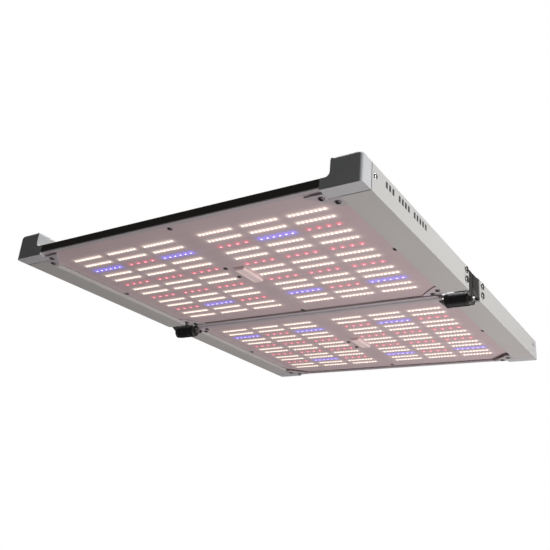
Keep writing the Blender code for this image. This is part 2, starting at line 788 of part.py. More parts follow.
def make_hangers(finishes, fold):
    """Four lugs with an eye, on the rails' tops."""
    half = HANGER_WIDTH / 2
    crown = EYE_ABOVE_BASE - EYE_ABOVE_CROWN
    for panel_name, panel in PANELS.items():
        parent = fold if panel == REAR else None
        for side_name, side in SIDES.items():
            centre_y = panel * HANGER_Y
            ear = [
                (centre_y - half, HANGER_BASE),
                (centre_y + half, HANGER_BASE),
                *arc((centre_y, HANGER_BASE + crown), half, 0, 180, 16),
            ]
            bm = bmesh.new()
            outer = side * HANGER_PLATE_OUTER
            inner = side * (HANGER_PLATE_OUTER - HANGER_PLATE)
            add_prism(bm, ear, "X", inner, outer)
            name = f"{panel_name}_{side_name}_hanger"
            hanger = make_object(name, bm, finishes["leaf_steel"], parent)
            foot = bmesh.new()
            edges = [side * HANGER_FOOT_INNER, side * (HANGER_PLATE_OUTER - HANGER_PLATE / 2)]
            low = (min(edges), centre_y - half, HANGER_BASE)
            high = (max(edges), centre_y + half, HANGER_BASE + HANGER_PLATE)
            add_box(foot, low, high)
            make_cutter(hanger, foot, "UNION")
            eye = [(side * (HANGER_PLATE_OUTER - 0.001), centre_y, EYE_HEIGHT)]
            cut_holes(hanger, eye, (1, 0, 0), EYE_RADIUS, 0.005)
            cut_holes(hanger, hanger_screw_places(panel, side), (0, 0, 1), FRAME_HOLE, 0.005)


def driver_outline(inset):
    """The driver housing's section in Y and height, with rounded corners."""
    radius = DRIVER_CORNER - inset
    low, top = DRIVER_LOW + inset, DRIVER_TOP - inset
    near = DRIVER_CENTRE_Y - DRIVER_HALF_WIDTH + inset
    far = DRIVER_CENTRE_Y + DRIVER_HALF_WIDTH - inset
    return [
        *arc((near + radius, low + radius), radius, 180, 270, 4),
        *arc((far - radius, low + radius), radius, 270, 360, 4),
        *arc((far - radius, top - radius), radius, 0, 90, 4),
        *arc((near + radius, top - radius), radius, 90, 180, 4),
    ]


def make_driver(finishes, knob_pivot):
    """The LED driver: housing, end covers, circuit board, channels, glands and knob."""
    bm = bmesh.new()
    half = DRIVER_HALF_LENGTH
    add_tube(bm, driver_outline(0), driver_outline(DRIVER_WALL), "X", -half, half)
    make_object("driver_housing", bm, finishes["driver_paint"], smooth=True)

    cover_outer = half + GAP + DRIVER_COVER
    for side_name, side in SIDES.items():
        bm = bmesh.new()
        add_prism(bm, driver_outline(0), "X", side * (half + GAP), side * cover_outer)
        cover = make_object(f"driver_{side_name}_cover", bm, finishes["driver_paint"])
        if side == RIGHT:
            knob_hole = [(cover_outer, KNOB_Y, KNOB_HEIGHT)]
            cut_holes(cover, knob_hole, (1, 0, 0), KNOB_SHAFT_RADIUS + GAP, 0.008)

    bm = bmesh.new()
    width = DRIVER_HALF_WIDTH - CIRCUIT_INSET
    level = DRIVER_LOW + CIRCUIT_INSET
    low = (-half + CIRCUIT_INSET, DRIVER_CENTRE_Y - width, level)
    high = (half - CIRCUIT_INSET - 0.002, DRIVER_CENTRE_Y + width, level + CIRCUIT_THICKNESS)
    add_box(bm, low, high)
    board = make_object("driver_circuit_board", bm, finishes["circuit_green"])
    parts = bmesh.new()
    for x, y, size, tall in CIRCUIT_PARTS:
        foot = Vector((x, DRIVER_CENTRE_Y + y, level + CIRCUIT_THICKNESS / 2))
        reach = Vector((size / 2, size / 2, 0))
        add_box(parts, foot - reach, foot + reach + Vector((0, 0, tall)))
    make_cutter(board, parts, "UNION")

    for side_name, side in SIDES.items():
        bm = bmesh.new()
        add_prism(bm, flip(channel_outline(), x_sign=side), "Y", *channel_span())
        make_object(f"driver_{side_name}_channel", bm, finishes["plate_aluminium"])

    middle = (DRIVER_LOW + DRIVER_TOP) / 2
    for gland_name, y in GLANDS.items():
        bm = bmesh.new()
        add_gland(bm, Vector((-cover_outer, DRIVER_CENTRE_Y + y, middle)), (-1, 0, 0))
        make_object(f"driver_{gland_name}_gland", bm, finishes["gland_plastic"])

    bm = bmesh.new()
    add_knob(bm, Vector((cover_outer, KNOB_Y, KNOB_HEIGHT)))
    knob = make_object("dimmer_knob", bm, finishes["gland_plastic"], knob_pivot, smooth=True)
    pointer = bmesh.new()
    face = cover_outer + KNOB_LENGTH
    low = (face - 0.002, KNOB_Y - POINTER_HALF, KNOB_HEIGHT + 0.001)
    high = (face + POINTER_HALF, KNOB_Y + POINTER_HALF, KNOB_HEIGHT + KNOB_RADIUS - 0.0022)
    add_box(pointer, low, high)
    make_cutter(knob, pointer, "UNION")


def channel_outline():
    """A support channel under the driver, in X and height: a web between two flanges."""
    low, top, wall = PLATE_TOP + GAP, DRIVER_LOW - GAP, CHANNEL_WALL
    web, reach = CHANNEL_WEB, CHANNEL_REACH
    return [
        (web, low),
        (web, top),
        (reach, top),
        (reach, top - wall),
        (web - wall, top - wall),
        (web - wall, low + wall),
        (reach, low + wall),
        (reach, low),
    ]


def channel_span():
    """Where the support channels start and end along Y."""
    reach = DRIVER_HALF_WIDTH - CHANNEL_INSET
    return DRIVER_CENTRE_Y - reach, DRIVER_CENTRE_Y + reach


def add_gland(bm, place, facing):
    """Adds a closed cable gland: a base flange and a domed nut, standing on a face."""
    add_turned(bm, GLAND_PROFILE, place, facing, ROUND_SIDES)


def add_knob(bm, place):
    """Adds the dimmer knob, with its shaft through the cover."""
    profile = [
        (0, -KNOB_SHAFT_LENGTH),
        (KNOB_SHAFT_RADIUS, -KNOB_SHAFT_LENGTH),
        (KNOB_SHAFT_RADIUS, KNOB_STAND_OFF),
        (KNOB_RADIUS, KNOB_STAND_OFF),
        (KNOB_RADIUS, KNOB_LENGTH - KNOB_CHAMFER),
        (KNOB_RADIUS - KNOB_CHAMFER, KNOB_LENGTH),
        (0, KNOB_LENGTH),
    ]
    add_turned(bm, profile, place, (1, 0, 0), 24)


def make_inlet_glands(finishes, fold):
    """The gland where each panel takes its supply, on top of its back plate."""
    for panel_name, panel in PANELS.items():
        parent = fold if panel == REAR else None
        bm = bmesh.new()
        x, y = INLET_GLAND
        add_gland(bm, Vector((x, panel * y, PLATE_TOP)), (0, 0, 1))
        make_object(f"{panel_name}_inlet_gland", bm, finishes["gland_plastic"], parent)


def main():
    """Builds the whole lamp."""
    clear_scene()
    finishes = make_materials()
    fold = make_pivot("fold_axis", (0, 0, PIVOT_HEIGHT))
    knob_pivot = make_pivot("dimmer_axis", (DRIVER_HALF_LENGTH, KNOB_Y, KNOB_HEIGHT))
    make_rails(finishes, fold)
    make_end_caps(finishes, fold)
    make_edge_bars(finishes, fold)
    make_boards(finishes, fold)
    make_wire_covers(finishes, fold)
    make_gussets(finishes, fold)
    make_leaf_screws(finishes, fold)
    make_hinges(finishes, fold)
    make_hangers(finishes, fold)
    make_driver(finishes, knob_pivot)
    make_inlet_glands(finishes, fold)


main()
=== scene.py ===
"""Looks of the folding LED grow light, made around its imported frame. Metres, +Z up.

The lamp hangs by four eyes, whose middle is the origin. The front panel lies on the -Y side of
the seam, the rear panel on the +Y side, and the LEDs face down.
"""

import math

import bpy
from mathutils import Matrix, Vector


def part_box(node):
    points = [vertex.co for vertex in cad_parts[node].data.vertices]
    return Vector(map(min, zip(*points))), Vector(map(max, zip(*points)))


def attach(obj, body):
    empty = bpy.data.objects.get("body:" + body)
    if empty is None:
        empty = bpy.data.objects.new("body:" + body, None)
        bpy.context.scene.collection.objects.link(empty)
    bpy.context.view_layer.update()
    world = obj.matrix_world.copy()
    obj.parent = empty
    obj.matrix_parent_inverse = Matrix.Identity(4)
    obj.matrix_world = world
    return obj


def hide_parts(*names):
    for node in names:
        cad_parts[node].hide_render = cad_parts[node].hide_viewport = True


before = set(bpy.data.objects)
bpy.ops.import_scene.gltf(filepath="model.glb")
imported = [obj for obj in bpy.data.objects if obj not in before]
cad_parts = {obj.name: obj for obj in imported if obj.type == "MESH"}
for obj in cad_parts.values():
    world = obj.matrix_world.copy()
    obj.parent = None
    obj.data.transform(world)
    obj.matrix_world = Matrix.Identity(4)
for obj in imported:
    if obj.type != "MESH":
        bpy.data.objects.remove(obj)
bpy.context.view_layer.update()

PANELS = {"front": -1, "rear": 1}
SIDES = {"left": -1, "right": 1}
DOWN, UP = (0, 0, -1), (0, 0, 1)

BOARD_THICKNESS = 0.0016
BOARD_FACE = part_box("front_led_board")[1].z - BOARD_THICKNESS
FRAME_LOW, FRAME_TOP = (corner.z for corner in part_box("front_left_rail"))
HALF_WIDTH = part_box("front_right_rail")[1].x
HALF_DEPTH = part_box("rear_left_end_cap")[1].y
RAIL_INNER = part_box("front_right_rail")[0].x
CAP_START = 0.343
FOOT_INNER = 0.228
PANEL_MIDDLE = 0.1805
GUSSET_FACE = BOARD_FACE - 0.0018

# Screws, from the seam outwards on the right side
BOARD_SCREWS = ((0, 0.345), (0, 0.0136), (0.236, PANEL_MIDDLE), (-0.236, PANEL_MIDDLE))
COVER_SCREWS = ((-0.013, -0.0055), (-0.013, 0.0285))
TAB_SCREWS = ((0.235, 0.3326), (0.2215, 0.3465))
GUSSET_SCREWS = ((0.235, 0.028), (0.224, 0.0172))
HANGER_SCREW_X = 0.2505
HANGER_SCREW_STEP = 0.007
HANGER_FOOT = 0.0025
CAP_SCREW_Y, CAP_SCREW_ABOVE_BOARD = 0.335, 0.0135
COVER_SCREW_INSET = 0.006

# Back plates: stiffening beads by distance from the seam, and the nuts of the board screws
PLATE_TOP = BOARD_FACE + 0.0039
BEAD_PLACES = (0.095, 0.265, 0.315)
BEAD_REACH, BEAD_HALF_WIDTH = 0.205, 0.006
NUT_RADIUS, NUT_HEIGHT, NUT_BORE = 0.0034, 0.0026, 0.0014
UNDER_DRIVER = (0.14, 0.22)

# Grooves between the rails and their end caps, painted black as the shade in the joint
CAP_GAP = 0.0003
JOINT_GROOVE_WIDTH, JOINT_GROOVE_DEPTH = 0.0007, 0.0004

# Dimmer and the print on the rail
KNOB_RADIUS, KNOB_LENGTH, KNOB_SIDES, KNOB_FLUTES = 0.009, 0.014, 48, 4
DIAL_TICKS, DIAL_SWEEP = 11, 270
PRINT_START, PRINT_END = -0.308, -0.183
PRINT_GROUPS = (3, 4, 5)
PRINT_LOW, PRINT_HIGH = BOARD_FACE + 0.0145, BOARD_FACE + 0.0225
PRINT_THICKNESS = 0.00012

FLOOR_LEVEL = -1.6

# LED groups: centre of each column, rows from the seam outwards, and the LEDs of one group
LED_COLUMNS = (-0.1839, -0.1159, -0.0479, 0.0479, 0.1159, 0.1839)
COLUMN_PITCH = 0.068
LED_ROWS = 14
ROW_PITCH = 0.02054
FIRST_ROW = 0.0476
LED_GROUPS = {
    "white": (9, 0.00595),
    "red": (4, 0.0138),
    "blue": (6, 0.00936),
}
LED_LENGTH, LED_WIDTH, LED_HEIGHT = 0.0030, 0.0028, 0.0008


# ---------------------------------------------------------------------------------- camera


def make_camera():
    """The camera, below the front left of the lamp and looking up at its boards."""
    right = Vector((0.83696095, 0.54099712, 0.08257415))
    up = Vector((0.13443347, -0.34950573, 0.92723966))
    back = Vector((0.53049413, -0.76496266, -0.36525076))
    place = Vector((0.56456868, -0.91684873, -0.4046358))
    data = bpy.data.cameras.new("camera")
    data.sensor_width = 36
    data.lens = 44.759
    data.clip_start, data.clip_end = 0.01, 60
    camera = bpy.data.objects.new("camera", data)
    turn = Matrix((right, up, back)).transposed().to_4x4()
    camera.matrix_world = Matrix.Translation(place) @ turn
    bpy.context.scene.collection.objects.link(camera)
    bpy.context.scene.camera = camera


# -------------------------------------------------------------------------------- finishes


class Value:
    """A shader socket that takes part in Python sums."""

    def __init__(self, finish, socket):
        self.finish, self.socket = finish, socket

    def __add__(self, other):
        return self.finish.math("ADD", self, other)

    __radd__ = __add__

    def __sub__(self, other):
        return self.finish.math("SUBTRACT", self, other)

    def __rsub__(self, other):
        return self.finish.math("SUBTRACT", other, self)

    def __mul__(self, other):
        return self.finish.math("MULTIPLY", self, other)

    __rmul__ = __mul__

    def __truediv__(self, other):
        return self.finish.math("DIVIDE", self, other)

    def __gt__(self, other):
        return self.finish.math("GREATER_THAN", self, other)

    def __lt__(self, other):
        return self.finish.math("LESS_THAN", self, other)

    def __abs__(self):
        return self.finish.math("ABSOLUTE", self)


class Finish:
    """A material under construction, on a Principled shader."""

    def __init__(self, name, **settings):
        self.material = bpy.data.materials.new(name)
        self.material.use_nodes = True
        self.tree = self.material.node_tree
        self.shader = self.tree.nodes["Principled BSDF"]
        for key, value in settings.items():
            self.set(key.replace("_", " ").title(), value)

    def set(self, key, value):
        """Gives a value or a link to a socket of the shader."""
        self.feed(self.shader.inputs[key], value)

    def feed(self, socket, value):
        """Gives a socket its value or its link. A colour may have three parts."""
        if isinstance(value, Value):
            self.tree.links.new(value.socket, socket)
        elif socket.type == "RGBA":
            socket.default_value = (*value, 1)
        else:
            socket.default_value = value

    def node(self, kind, settings=None, sockets=None):
        """Adds a node: its type, its settings, then the values or links of its sockets."""
        made = self.tree.nodes.new(kind)
        for key, value in (settings or {}).items():
            if key == "stops":
                for stop, (position, shade) in zip(self.ramp_stops(made, len(value)), value):
                    stop.position, stop.color = position, (shade, shade, shade, 1)
            else:
                setattr(made, key, value)
        for key, value in (sockets or {}).items():
            self.feed(made.inputs[key], value)
        return made

    def ramp_stops(self, ramp, count):
        """The stops of a colour ramp, as many as are asked for."""
        while len(ramp.color_ramp.elements) < count:
            ramp.color_ramp.elements.new(0.5)
        return ramp.color_ramp.elements

    def math(self, operation, *operands):
        """One Math node on numbers and values."""
        made = self.node("ShaderNodeMath", {"operation": operation}, dict(enumerate(operands)))
        return Value(self, made.outputs[0])

    def clamp(self, value, low=0.0, high=1.0):
        """The value held between two limits."""
        return self.math("MINIMUM", self.math("MAXIMUM", value, low), high)

    def place(self, stretch=(1, 1, 1)):
        """Where a point is on the piece, in metres, stretched along each axis."""
        source = self.node("ShaderNodeTexCoord").outputs["Object"]
        mapping = self.node("ShaderNodeMapping", None, {"Vector": Value(self, source), "Scale": stretch})
        return Value(self, mapping.outputs[0])

    def axes(self):
        """The three coordinates of a point."""
        split = self.node("ShaderNodeSeparateXYZ", None, {0: self.place()})
        return [Value(self, output) for output in split.outputs]

    def noise(self, size, detail=2.0, stretch=(1, 1, 1), roughness=0.5):
        """Noise from 0 to 1 whose features are about size metres across."""
        made = self.node(
            "ShaderNodeTexNoise",
            {"noise_dimensions": "3D"},
            {
                "Vector": self.place(stretch),
                "Scale": 1 / size,
                "Detail": detail,
                "Roughness": roughness,
            },
        )
        return Value(self, made.outputs[0])

    def specks(self, size, stretch=(1, 1, 1)):
        """Distance from 0 to 1 to the nearest of scattered points size metres apart."""
        made = self.node(
            "ShaderNodeTexVoronoi", None, {"Vector": self.place(stretch), "Scale": 1 / size}
        )
        return Value(self, made.outputs["Distance"])

    def ramp(self, value, *stops):
        """The value passed through stops of (position, result)."""
        made = self.node("ShaderNodeValToRGB", {"stops": stops}, {0: value})
        return Value(self, made.outputs[0])

    def mix(self, factor, first, second, blend="MIX"):
        """Two colours mixed by a factor."""
        made = self.node(
            "ShaderNodeMix",
            {"data_type": "RGBA", "blend_type": blend},
            {0: factor, 6: first, 7: second},
        )
        return Value(self, made.outputs[2])

    def bump(self, height, depth):
        """A relief of that depth in metres, fed to the shader's normal."""
        made = self.node(
            "ShaderNodeBump", None, {"Strength": 1.0, "Distance": depth, "Height": height}
        )
        self.set("Normal", Value(self, made.outputs[0]))


def rail_paint_finish():
    """Satin light-grey coat on the rails: fine orange peel, a few scuffs and faint clouding."""
    made = Finish("rail_paint", metallic=0.0)
    cloud = made.noise(0.09, 3.0, (1, 0.35, 1))
    grain = made.noise(0.0009, 2.0)
    scuff = made.ramp(made.noise(0.012, 5.0, (1, 0.12, 1), 0.7), (0.66, 0.0), (0.74, 1.0))
    base = made.mix(cloud, (0.565, 0.562, 0.548), (0.62, 0.615, 0.60))
    made.set("Base Color", made.mix(scuff * 0.25, base, (0.42, 0.41, 0.40)))
    made.set("Roughness", 0.40 + 0.10 * cloud + 0.08 * grain + 0.1 * scuff)
    made.bump(grain, 0.00006)
    return made


def cap_finish():
    """Moulded light-grey end caps: a fine spark-eroded grain and a slight mottle."""
    made = Finish("cap_moulding", metallic=0.0)
    grain = made.noise(0.0007, 3.0)
    mottle = made.noise(0.03, 2.0)
    dust = made.ramp(made.noise(0.006, 6.0, (1, 1, 1), 0.75), (0.60, 0.0), (0.75, 1.0))
    base = made.mix(mottle, (0.56, 0.57, 0.58), (0.61, 0.62, 0.63))
    made.set("Base Color", made.mix(dust * 0.3, base, (0.50, 0.49, 0.46)))
    made.set("Roughness", 0.44 + 0.12 * grain + 0.06 * mottle)
    made.bump(grain, 0.00007)
    return made


def anodised_finish():
    """Black anodised edge bars, with drawn lines along their length and a little dust."""
    made = Finish("black_anodised", metallic=0.6)
    drawn = made.noise(0.0012, 3.0, (0.02, 1, 1))
    dust = made.ramp(made.noise(0.004, 6.0, (0.5, 1, 1), 0.8), (0.58, 0.0), (0.80, 1.0))
    base = made.mix(drawn, (0.105, 0.098, 0.086), (0.150, 0.140, 0.125))
    made.set("Base Color", made.mix(dust * 0.35, base, (0.09, 0.085, 0.075)))
    made.set("Roughness", 0.40 + 0.15 * drawn + 0.12 * dust)
    made.bump(drawn, 0.00003)
    return made


def rim_finish(name, dark, light):
    """The pale coat under the edge bars, the gussets and the tabs, tinted by the LEDs' light."""
    made = Finish(name, metallic=0.0)
    grain = made.noise(0.0009, 2.0)
    cloud = made.noise(0.06, 2.0, (0.4, 1, 1))
    made.set("Base Color", made.mix(cloud, dark, light))
    made.set("Roughness", 0.42 + 0.12 * grain)
    made.bump(grain, 0.00005)
    return made


def led_glow(made, x, y, start):
    """How much light of each colour falls on the board at a point, by colour."""
    along = (y - start) * (1 / ROW_PITCH)
    row = made.clamp(made.math("ROUND", along), 0, LED_ROWS - 1)
    off_row = (along - row) * ROW_PITCH
    across = (abs(x) - LED_COLUMNS[3]) * (1 / COLUMN_PITCH)
    column = made.clamp(made.math("ROUND", across), 0, 2)
    off_column = (across - column) * COLUMN_PITCH
    coloured = made.math("COMPARE", row - 3 * made.math("FLOOR", row * (1 / 3) + 0.01), 2, 0.1)
    odd_place = made.math("COMPARE", column, 1, 0.1)
    on_right = x > 0
    even_column = odd_place * on_right + (1 - odd_place) * (1 - on_right)
    third_row = made.math("COMPARE", row, 2, 0.1)
    twelfth_row = made.math("COMPARE", row, 11, 0.1)
    blue = third_row * even_column + twelfth_row * (1 - even_column)
    shares = {"white": 1 - coloured, "red": coloured - blue, "blue": blue}
    reach = {"white": 0.0031, "red": 0.0029, "blue": 0.0044}
    glows = {}
    for colour, share in shares.items():
        count, pitch = LED_GROUPS[colour]
        step = off_column * (1 / pitch) + (count - 1) / 2
        nearest = made.clamp(made.math("ROUND", step), 0, count - 1)
        off_led = (step - nearest) * pitch
        square = off_led * off_led + off_row * off_row
        near = made.math("EXPONENT", square * (-1 / reach[colour] ** 2))
        wide = made.math("EXPONENT", square * (-1 / (2.6 * reach[colour]) ** 2))
        glows[colour] = share * (near + 0.16 * wide)
    return glows


def board_finish(name, start):
    """White solder mask with its own LEDs' light painted on: copper tracks under the mask, painted halos
    by the chips, a painted mauve tint and painted shade along its side edges.
    """
    made = Finish(name, metallic=0.0)
    x, y, _ = made.axes()
    glows = led_glow(made, x, y, start)
    cloud = made.noise(0.05, 3.0)
    grain = made.noise(0.0006, 2.0)
    along = (y - start) * (1 / ROW_PITCH)
    off_row = abs(along - made.math("ROUND", along)) * ROW_PITCH
    track = made.ramp(off_row * 100, (0.30, 1.0), (0.34, 0.0))
    pad_step = made.math("PINGPONG", x, 0.017) * 100
    gap = made.ramp(pad_step, (0.03, 0.0), (0.06, 1.0))
    copper = track * gap
    # Painted light: the mauve-grey base stands in for the LEDs' mixed light falling on the white mask.
    base = made.mix(cloud, (0.600, 0.492, 0.508), (0.655, 0.545, 0.556))
    base = made.mix(copper * 0.18, base, (0.68, 0.58, 0.57))
    # Painted shade: a dark strip along the board's side edges, in the gap beside the rails.
    made.set("Base Color", made.mix((abs(x) > 0.2398) * 0.75, base, (0.10, 0.08, 0.09)))
    made.set("Roughness", 0.36 + 0.10 * cloud + 0.10 * grain)
    made.bump(copper * 0.6 + grain * 0.15, 0.00006)
    # Painted light: the emission paints the LEDs' halos on the board, which is no lamp.
    light = made.mix(made.clamp(glows["white"] * 0.90), (0.012, 0.006, 0.008), (0.97, 0.79, 0.69))
    light = made.mix(made.clamp(glows["red"] * 0.95), light, (0.80, 0.035, 0.10))
    light = made.mix(made.clamp(glows["blue"] * 1.0), light, (0.10, 0.075, 0.95))
    made.set("Emission Color", light)
    made.set("Emission Strength", 1.0)
    return made


def lit_finish(name, core, edge, pitch_noise=0.0004):
    """A lit phosphor or lens: bright in its middle, with a fine sparkle over its face."""
    made = Finish(name, metallic=0.0, roughness=0.35)
    sparkle = made.noise(pitch_noise, 2.0)
    made.set("Base Color", made.mix(sparkle, core, edge))
    made.set("Emission Color", made.mix(sparkle * 0.5, core, edge))
    made.set("Emission Strength", 2.6)
    made.bump(sparkle, 0.00002)
    made.material.cycles.emission_sampling = "NONE"
    return made


def chip_finish(name, shade, glow):
    """The white moulded case of an LED, filled with its own light."""
    made = Finish(name, metallic=0.0)
    grain = made.noise(0.0003, 2.0)
    made.set("Base Color", made.mix(grain, shade, [0.9 * part for part in shade]))
    made.set("Roughness", 0.35 + 0.2 * grain)
    made.set("Emission Color", made.mix(grain, glow, [0.85 * part for part in glow]))
    made.set("Emission Strength", 1.0)
    made.bump(grain, 0.00002)
    made.material.cycles.emission_sampling = "NONE"
    return made


def cover_finish():
    """The pale moulding over the board's wires, with a faint glow of the LEDs' light painted on."""
    made = Finish("wire_cover_moulding", metallic=0.0)
    grain = made.noise(0.0006, 3.0)
    shade = made.noise(0.02, 2.0)
    made.set("Base Color", made.mix(shade, (0.80, 0.66, 0.65), (0.88, 0.75, 0.73)))
    made.set("Roughness", 0.42 + 0.15 * grain)
    made.bump(grain, 0.00005)
    # Painted light: a faint pink glow stands in for the LEDs' light on the moulding.
    made.set("Emission Color", made.mix(shade, (0.10, 0.07, 0.07), (0.13, 0.09, 0.09)))
    made.set("Emission Strength", 1.0)
    return made


def aluminium_finish():
    """Mill-finish sheet: rolling lines, light smudges and fine scratches."""
    made = Finish("mill_aluminium", metallic=1.0)
    rolled = made.noise(0.0016, 4.0, (0.03, 1, 1))
    smudge = made.noise(0.07, 4.0, roughness=0.6)
    scratch = made.ramp(made.noise(0.010, 6.0, (0.04, 1, 1), 0.8), (0.60, 0.0), (0.66, 1.0))
    made.set("Base Color", made.mix(smudge, (0.60, 0.61, 0.62), (0.72, 0.73, 0.74)))
    made.set("Roughness", 0.30 + 0.12 * rolled + 0.14 * smudge + 0.06 * scratch)
    made.bump(rolled + 0.5 * scratch, 0.00004)
    return made


def leaf_finish():
    """Dark zinc on the pressed hinge leaves and hangers, worn a little brighter in places."""
    made = Finish("dark_zinc", metallic=0.85)
    brushed = made.noise(0.0010, 3.0, (1, 1, 0.08))
    blotch = made.noise(0.010, 4.0, roughness=0.6)
    worn = made.ramp(made.noise(0.005, 6.0, roughness=0.8), (0.60, 0.0), (0.72, 1.0))
    base = made.mix(blotch, (0.10, 0.098, 0.098), (0.21, 0.205, 0.20))
    made.set("Base Color", made.mix(worn * 0.5, base, (0.36, 0.35, 0.34)))
    made.set("Roughness", 0.30 + 0.14 * blotch + 0.10 * brushed)
    made.bump(brushed, 0.00003)
    return made


def barrel_finish():
    """Black coated hinge barrels, with a soft gloss and turning lines."""
    made = Finish("black_barrel", metallic=0.1)
    turned = made.noise(0.0005, 2.0, (1, 0.05, 0.05))
    smear = made.noise(0.008, 4.0, roughness=0.6)
    made.set("Base Color", made.mix(smear, (0.010, 0.010, 0.011), (0.022, 0.021, 0.021)))
    made.set("Roughness", 0.40 + 0.14 * smear + 0.06 * turned)
    made.bump(turned, 0.00002)
    return made


def screw_finish(name, dark, bright, rough):
    """Plated screws, rubbed brighter in patches."""
    made = Finish(name, metallic=1.0)
    rubbed = made.noise(0.0016, 4.0, roughness=0.7)
    fine = made.noise(0.0003, 2.0)
    made.set("Base Color", made.mix(rubbed, dark, bright))
    made.set("Roughness", rough + 0.14 * rubbed + 0.05 * fine)
    made.bump(fine, 0.00001)
    return made


def driver_finish():
    """Dark textured powder coat on the driver's case."""
    made = Finish("driver_powder_coat", metallic=0.0)
    wrinkle = made.specks(0.0011)
    fine = made.noise(0.0008, 3.0)
    dust = made.ramp(made.noise(0.02, 6.0, roughness=0.75), (0.50, 0.0), (0.80, 1.0))
    base = made.mix(fine, (0.030, 0.031, 0.034), (0.050, 0.051, 0.055))
    made.set("Base Color", made.mix(dust * 0.35, base, (0.12, 0.118, 0.11)))
    made.set("Roughness", 0.46 + 0.14 * fine + 0.10 * dust)
    made.bump(wrinkle, 0.00012)
    return made


def nylon_finish():
    """Black nylon on the glands and the dimmer knob, and painted into the rail-end grooves as shade."""
    made = Finish("black_nylon", metallic=0.0)
    grain = made.noise(0.0005, 3.0)
    smear = made.noise(0.012, 3.0)
    made.set("Base Color", made.mix(smear, (0.018, 0.018, 0.019), (0.032, 0.032, 0.032)))
    made.set("Roughness", 0.42 + 0.18 * grain + 0.06 * smear)
    made.bump(grain, 0.00006)
    return made


def circuit_finish():
    """Green circuit board with tracks, inside the driver."""
    made = Finish("green_circuit", metallic=0.0)
    x, y, _ = made.axes()
    track = made.ramp(made.math("PINGPONG", y + 0.3 * x, 0.002) * 300, (0.25, 1.0), (0.35, 0.0))
    grain = made.noise(0.0008, 2.0)
    base = made.mix(grain, (0.020, 0.090, 0.038), (0.030, 0.120, 0.050))
    made.set("Base Color", made.mix(track * 0.5, base, (0.05, 0.20, 0.08)))
    made.set("Roughness", 0.35 + 0.2 * grain)
    made.bump(track, 0.00004)
    return made


def ink_finish(name, shade):
    """Screen-printed ink, slightly uneven."""
    made = Finish(name, metallic=0.0)
    pores = made.noise(0.0008, 4.0, roughness=0.7)
    made.set("Base Color", made.mix(pores, shade, [0.6 * part + 0.03 for part in shade]))
    made.set("Roughness", 0.45 + 0.2 * pores)
    made.bump(pores, 0.00001)
    return made


def floor_finish():
    """Pale painted floor that fades into the white surround."""
    made = Finish("pale_floor", metallic=0.0)
    made.shader.inputs["Specular IOR Level"].default_value = 0.0
    x, y, _ = made.axes()
    cloud = made.noise(0.8, 4.0)
    fade = made.clamp((made.math("SQRT", x * x + y * y) - 0.8) * 0.4)
    base = made.mix(cloud, (0.62, 0.62, 0.62), (0.66, 0.66, 0.66))
    made.set("Base Color", made.mix(fade, base, (0.0, 0.0, 0.0)))
    made.set("Roughness", 0.6 + 0.1 * cloud)
    glow = made.mix(cloud, (0.60, 0.60, 0.60), (0.64, 0.64, 0.64))
    made.set("Emission Color", made.mix(fade, glow, (1.0, 1.0, 1.0)))
    made.set("Emission Strength", 1.0)
    return made


def make_finishes():
    """Every finish of the lamp, by name."""
    front_start = -FIRST_ROW - (LED_ROWS - 1) * ROW_PITCH
    made = {
        "rail": rail_paint_finish(),
        "cap": cap_finish(),
        "bar": anodised_finish(),
        "rim": rim_finish("rim_coat", (0.50, 0.46, 0.48), (0.56, 0.52, 0.54)),
        "gusset": rim_finish("gusset_coat", (0.60, 0.53, 0.55), (0.66, 0.59, 0.61)),
        # Painted highlight: a near-white metal finish for the outer bars' lower chamfer.
        "painted_highlight_edge": screw_finish("painted_highlight_chamfer", (0.80, 0.79, 0.78), (0.95, 0.94, 0.93), 0.34),
        "front_board": board_finish("front_solder_mask", front_start),
        "rear_board": board_finish("rear_solder_mask", FIRST_ROW),
        "white_core": lit_finish("white_phosphor", (1.0, 0.95, 0.86), (1.0, 0.90, 0.76)),
        "red_core": lit_finish("red_lens", (1.0, 0.42, 0.48), (0.95, 0.30, 0.38)),
        "blue_core": lit_finish("blue_lens", (0.80, 0.74, 1.0), (0.62, 0.56, 1.0)),
        "white_chip": chip_finish("white_led_case", (0.8, 0.75, 0.68), (0.62, 0.50, 0.38)),
        "red_chip": chip_finish("red_led_case", (0.7, 0.5, 0.52), (0.62, 0.035, 0.085)),
        "blue_chip": chip_finish("blue_led_case", (0.5, 0.5, 0.75), (0.13, 0.11, 0.85)),
        "cover": cover_finish(),
        "aluminium": aluminium_finish(),
        "leaf": leaf_finish(),
        "barrel": barrel_finish(),
        "bright_screw": screw_finish("bright_zinc", (0.42, 0.42, 0.42), (0.72, 0.72, 0.71), 0.20),
        "plated_screw": screw_finish("plated_steel", (0.16, 0.16, 0.155), (0.42, 0.41, 0.40), 0.22),
        "dark_screw": screw_finish("dark_zinc_screw", (0.07, 0.065, 0.065), (0.22, 0.21, 0.21), 0.24),
        "driver": driver_finish(),
        "nylon": nylon_finish(),
        "circuit": circuit_finish(),
        "dark_ink": ink_finish("dark_print", (0.05, 0.05, 0.05)),
        "pale_ink": ink_finish("pale_print", (0.75, 0.75, 0.75)),
    }
    return {name: finish.material for name, finish in made.items()}


# --------------------------------------------------------------------------------- modelling


def only(piece):
    """Leaves one piece selected and active."""
    bpy.ops.object.select_all(action="DESELECT")
    piece.select_set(True)
    bpy.context.view_layer.objects.active = piece


def named(name):
    """Names a new primitive and moves its place into its mesh."""
    piece = bpy.context.active_object
    piece.name = piece.data.name = name
    bpy.ops.object.transform_apply(location=True, rotation=True, scale=True)
    return piece


def add_block(name, low, high):
    """A block between two corners."""
    low, high = Vector(low), Vector(high)
    bpy.ops.object.select_all(action="DESELECT")
    bpy.ops.mesh.primitive_cube_add(size=1, location=(low + high) / 2, scale=high - low)
    return named(name)


